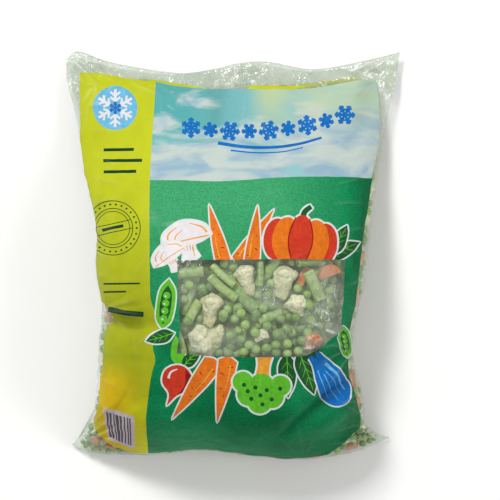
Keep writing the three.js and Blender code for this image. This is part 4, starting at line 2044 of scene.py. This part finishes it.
@dataclass
class Packing:
    """Finds places for loose pieces under the clear film, and keeps them off it and off each other."""

    form: BagForm
    camera: StudioCamera
    film: Object
    draws: random.Random
    fill_line: float = 96 * MM  # how far up the bag the contents lie
    overlap: float = 0.14  # how deep two stand-ins may press into each other, as a share
    deepest: float = 12  # how far under the film loose pieces are still seen, in millimetres
    cell: float = 14 * MM
    core_inset: float = 11 * MM  # how far the core stays from the film
    core_step: float = 11 * MM  # how far apart the lumps that make it are
    window_middle: Place = (23 * MM, -45 * MM)
    window_half: Place = (76 * MM, 45 * MM)
    window_base: float = 60 * MM
    ear: Place = (98 * MM, -125 * MM)  # further out and down than this, only small pieces fit
    ear_share: float = 0.75
    tries_deeper: int = 14

    def __post_init__(self) -> None:
        """Sorts the film's places and its clear faces."""
        mesh = self.film.data
        faces = [face.vertices for face in mesh.polygons]
        self.surface = BVHTree.FromPolygons([vertex.co for vertex in mesh.vertices], faces)
        clear = [
            face
            for face in mesh.polygons
            if face.material_index == 0 and face.center.y < self.fill_line and face.normal.z > -0.5
        ]
        self.openings = [(face.center.copy(), face.normal.copy()) for face in clear]
        self.weights = list(np.cumsum([face.area for face in clear]))
        self.taken: dict[tuple[int, int, int], list[tuple[Vector, float]]] = {}

    def cells_near(self, place: Vector) -> Iterator[tuple[int, ...]]:
        """The cells of space round a place."""
        middle = (int(c // self.cell) for c in place)
        return itertools.product(*((c - 1, c, c + 1) for c in middle))

    def depth(self, place: Vector) -> float:
        """How far inside the film a place is.

        Args:
            place: the place.

        Returns:
            Its distance from the film, or 0 outside it.
        """
        up = Vector((0, 0, 1))
        above, below = self.surface.ray_cast(place, up)[1], self.surface.ray_cast(place, -up)[1]
        if above is None or below is None or above.z <= 0 or below.z >= 0:
            return 0.0
        return self.surface.find_nearest(place)[3]

    def is_free(self, place: Vector, radius: float, press: float = 0.0) -> bool:
        """Whether a ball clears the film and the pieces already there.

        Args:
            place: its middle.
            radius: its radius.
            press: how much more than usual it may press into others, as a share.

        Returns:
            True where it does.
        """
        share = 1 - self.overlap - press
        near = itertools.chain.from_iterable(self.taken.get(cell, ()) for cell in self.cells_near(place))
        if any((place - other).length < (radius + size) * share for other, size in near):
            return False
        return self.depth(place) > 0.97 * radius

    def take(self, place: Vector, radius: float) -> None:
        """Marks a ball's place as taken."""
        cell = tuple(int(c // self.cell) for c in place)
        self.taken.setdefault(cell, []).append((place, radius))

    def lay(
        self, kind: Vegetable, at: Vector, out: Vector, turn: float, size: float, press: float = 0.0,
    ) -> Matrix | None:
        """Lays a piece at a place, if there is room.

        Args:
            kind: what it is.
            at: its middle.
            out: the way its back faces.
            turn: its turn about that, in degrees from +X.
            size: its size, as a share.
            press: how much more than usual it may press into others.

        Returns:
            The piece's matrix, or nothing.
        """
        along = Vector((math.cos(math.radians(turn)), math.sin(math.radians(turn)), 0))
        along = (along - out * along.dot(out)).normalized()
        spin = Matrix((along, out.cross(along), out)).transposed()
        balls = [(at + spin @ Vector(ball.place) * size, ball.radius * size) for ball in kind.balls()]
        if not all(self.is_free(place, radius, press) for place, radius in balls):
            return None
        for place, radius in balls:
            self.take(place, radius)
        return Matrix.Translation(at) @ spin.to_4x4()

    def under_window(self, kind: Vegetable, shown: Shown) -> tuple[Matrix, float] | None:
        """Lays a chosen piece under the window, a little deeper each time it doesn't fit.

        Args:
            kind: what it is.
            shown: where the camera sees it.

        Returns:
            Its matrix and size, or nothing.
        """
        u, v = self.form.seen_at(np.array([shown.place]) * MM, self.camera).T
        place = Vector(self.form.surface(u, v)[0])
        hit, normal, _, _ = self.surface.ray_cast(Vector((place.x, place.y, 1)), Vector((0, 0, -1)))
        widest = max(ball.radius for ball in kind.balls()) * shown.scale
        for extra in range(self.tries_deeper):
            at = hit - normal * (widest + (shown.depth + 0.8 * extra) * MM)
            laid = self.lay(kind, at, normal, shown.turn, shown.scale, press=0.12)
            if laid:
                return laid, shown.scale
        return None

    def in_window(self, place: Vector) -> bool:
        """Whether a place on the film is in the window of the front."""
        (x, y), (across, along) = self.window_middle, self.window_half
        return abs(place.x - x) < across and abs(place.y - y) < along and place.z > self.window_base

    def in_ear(self, place: Vector) -> bool:
        """Whether a place on the film is in one of the two lower corners, where only small pieces fit."""
        return abs(place.x) > self.ear[0] and place.y < self.ear[1]

    def scatter(self, kind: Vegetable) -> list[tuple[Matrix, float]]:
        """Places the loose pieces of a kind, each as near the film as there is room.

        Args:
            kind: what they are.

        Returns:
            A matrix and a size for each.
        """
        spots = []
        widest = max(ball.radius for ball in kind.balls())
        for middle, out in self.draws.choices(self.openings, cum_weights=self.weights, k=kind.tries):
            size = self.draws.uniform(0.8, 1.06) * (self.ear_share if self.in_ear(middle) else 1)
            first = self.draws.uniform(0.3, 1.5) + (kind.keeps_off if self.in_window(middle) else 0)
            tilt = Vector([self.draws.uniform(-1, 1) for _ in range(3)])
            turn = self.draws.uniform(0, 360)
            for depth in np.arange(first, self.deepest, 2.0):
                at = middle - out * (widest * size + depth * MM)
                spin = (out + tilt * (0.1 + 0.06 * depth)).normalized()
                laid = self.lay(kind, at, spin, turn, size)
                if laid:
                    spots.append((laid, size))
                    break
            if len(spots) == kind.most:
                break
        return spots

    def core(self) -> None:
        """Fills what lies deeper than the loose pieces with one lumpy closed body."""
        low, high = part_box("bag")
        step = self.core_step
        ball, faces = taken_apart(added(bpy.ops.mesh.primitive_ico_sphere_add, subdivisions=2, radius=1))
        places, corners = [], []
        for spot in itertools.product(
            np.arange(low.x, high.x, step),
            np.arange(low.y, self.fill_line, step),
            np.arange(low.z + self.core_inset, high.z, step),
        ):
            place = Vector(spot) + Vector([self.draws.uniform(-0.3, 0.3) * step for _ in range(3)])
            radius = min(self.depth(place) - self.core_inset, 0.95 * step)
            if radius >= 0.5 * step:
                corners.append(faces + len(ball) * len(places))
                places.append(ball * radius + np.array(place))
        core = placed("packed_core", np.vstack(places), np.vstack(corners))
        apply_modifier(core, "REMESH", mode="VOXEL", voxel_size=2.4 * MM)
        apply_modifier(core, "SMOOTH", factor=0.5, iterations=2)
        core.data.materials.append(PackedPieces().material())
        bpy.ops.object.shade_smooth()
        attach(core, "root")
        log.info("packed core: %d faces", len(core.data.polygons))


def chosen(*rows: tuple[Place, float, float, float]) -> tuple[Shown, ...]:
    """Chosen pieces, each by its place, turn, scale and depth."""
    return tuple(itertools.starmap(Shown, rows))


def chosen_peas(scale: float, depth: float, *places: Place) -> tuple[Shown, ...]:
    """Chosen peas of one scale and depth."""
    return tuple(Shown(place, 0, scale, depth) for place in places)


def mixture() -> list[Vegetable]:
    """The vegetables in the bag, the largest pieces first.

    Returns:
        One of each kind.
    """
    return [
        Cauliflower(
            "cauliflower",
            FrozenSkin("cauliflower", srgb(204, 200, 152), srgb(240, 236, 200), 160, 0.2, 300),
            tries=500, most=50, keeps_off=20,
            shown=chosen(
                ((-18, -43), 74, 0.95, 0.4), ((-24, -73), 200, 1.45, 0.1), ((11, -16), 100, 0.9, 0.8),
                ((46, -19), 72, 1.1, 0.4), ((58, -43), 98, 0.85, 0.4), ((26, -69), 30, 0.5, 2),
                ((104, -94), 100, 0.8, 2), ((99, -78), 80, 0.7, 2),
            ),
        ),
        Carrots(
            "carrots",
            FrozenSkin("carrots", srgb(184, 82, 32), srgb(212, 124, 66), 200, 0.3),
            tries=900, most=50, keeps_off=20,
            shown=chosen(
                ((86, -17), 20, 0.95, 0.9), ((64, -15), 60, 0.8, 0.9), ((72, -79), 30, 0.8, 0.4),
                ((-110, -53), 70, 0.6, 2), ((-112, -164), -20, 0.6, 2), ((-98, -168), -20, 0.6, 2),
                ((104, -108), 80, 0.6, 2), ((-120, -160), 30, 0.45, 1), ((-106, -167), -20, 0.5, 1),
            ),
        ),
        GreenBeans(
            "green_beans",
            FrozenSkin("green_beans", srgb(112, 144, 66), srgb(176, 200, 118), 260, 0.25),
            tries=1300, most=130, keeps_off=2.5,
            shown=chosen(
                ((-9, -15), -45, 0.95, 0.2), ((7, -31), -50, 1.2, 0.3), ((-9, -27), -40, 1.1, 2),
                ((24, -14), 88, 0.8, 1), ((73, -25), -63, 1.15, 0.2), ((80, -52), 30, 1.0, 3),
                ((58, -60), 35, 1.0, 3), ((-40, -38), 70, 1.0, 3), ((33, -52), 20, 0.9, 3),
                ((-38, -13), 5, 1.0, 1.5), ((-36, -47), 60, 0.9, 2.5), ((89, -41), 70, 1.0, 1.5),
                ((76, -62), 35, 1.1, 1.5), ((36, -38), 40, 1.1, 1.5),
            ),
        ),
        Peas(
            "peas",
            FrozenSkin("peas", srgb(90, 130, 46), srgb(158, 192, 88), 320, 0.25),
            tries=16000, most=1120, keeps_off=5,
            shown=chosen_peas(
                0.92, 1,
                (-27, -27), (7, -49), (20, -49), (11, -59), (19, -66), (-2, -68), (7, -72), (14, -77),
                (10, -83), (20, -81), (29, -80), (38, -77), (39, -67), (47, -63), (42, -54), (67, -42),
                (61, -73), (68, -68), (58, -83), (38, -84), (48, -76), (30, -60), (55, -53), (48, -85),
                (-40, -56), (-4, -84), (-38, -24), (86, -42), (88, -30), (70, -54), (-8, -50),
            ) + chosen_peas(
                0.72, 1,
                (-128, -158), (-123, -151), (-119, -158), (-123, -164), (-114, -152), (-117, -144),
                (-129, -165), (104, -153), (110, -149), (112, -157), (105, -162), (118, -155), (97, -165),
                (112, -141), (90, -168), (117, -148),
            ) + chosen_peas(
                0.5, 0.5,
                (-131, -160), (-134, -165), (-127, -163), (-128, -155), (-124, -158), (-132, -155),
                (-136, -163), (-121, -165), (122, -152), (126, -150), (120, -147), (115, -162), (124, -156),
            ),
        ),
    ]


# The stage


@dataclass(frozen=True)
class Lamp:
    """A soft box, aimed at the bag."""

    name: str
    place: tuple[float, float, float]
    size: float
    power: float

    def build(self) -> None:
        """Hangs the lamp."""
        data = bpy.data.lights.new(self.name, "AREA")
        data.size = self.size
        data.energy = self.power
        lamp = bpy.data.objects.new(self.name, data)
        lamp.location = self.place
        lamp.rotation_euler = (-Vector(self.place)).to_track_quat("-Z", "Y").to_euler()
        bpy.context.scene.collection.objects.link(lamp)


@dataclass(frozen=True)
class Studio:
    """A plain pale floor under soft light."""

    floor_size: float = 6.0
    floor_colour: Colour = srgb(248, 248, 246)
    sky_strength: float = 0.5
    lamps: tuple[Lamp, ...] = (
        Lamp("key_lamp", (-1.6, 2.7, 3.3), 1.0, 146),
        Lamp("fill_lamp", (3.6, -0.4, 2.6), 1.4, 46),
    )

    def build(self) -> None:
        """Lays the floor and hangs the lamps."""
        scene = bpy.context.scene
        scene.view_settings.view_transform = "Standard"
        floor = added(bpy.ops.mesh.primitive_plane_add, size=self.floor_size)
        floor.name = "floor"
        paper = Paint("floor_paper", Base_Color=self.floor_colour, Roughness=0.9)
        floor.data.materials.append(paper.material)
        world = bpy.data.worlds.new("studio_light")
        world.use_nodes = True
        background = world.node_tree.nodes["Background"].inputs
        background["Color"].default_value = (1, 1, 1, 1)
        background["Strength"].default_value = self.sky_strength
        scene.world = world
        for lamp in self.lamps:
            lamp.build()


def main() -> None:
    """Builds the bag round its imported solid."""
    logging.basicConfig(level=logging.INFO, format="%(name)s: %(message)s")
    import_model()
    camera = StudioCamera()
    camera.build()
    form = BagForm()
    form.set_in(*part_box("bag"))
    film = Film(form, PrintLayout(form, camera), Creases(random.Random(SEED)).gather()).build()
    draws = random.Random(SEED)
    packing = Packing(form, camera, film, draws)
    kinds = mixture()
    chosen = {kind.name: [] for kind in kinds}
    for kind, shown in sorted(((k, s) for k in kinds for s in k.shown), key=lambda pair: pair[1].depth):
        chosen[kind.name].append(packing.under_window(kind, shown))
    for kind in kinds:
        kind.build([spot for spot in chosen[kind.name] if spot] + packing.scatter(kind), draws)
    packing.core()
    Studio().build()


if __name__ == "__main__":
    main()
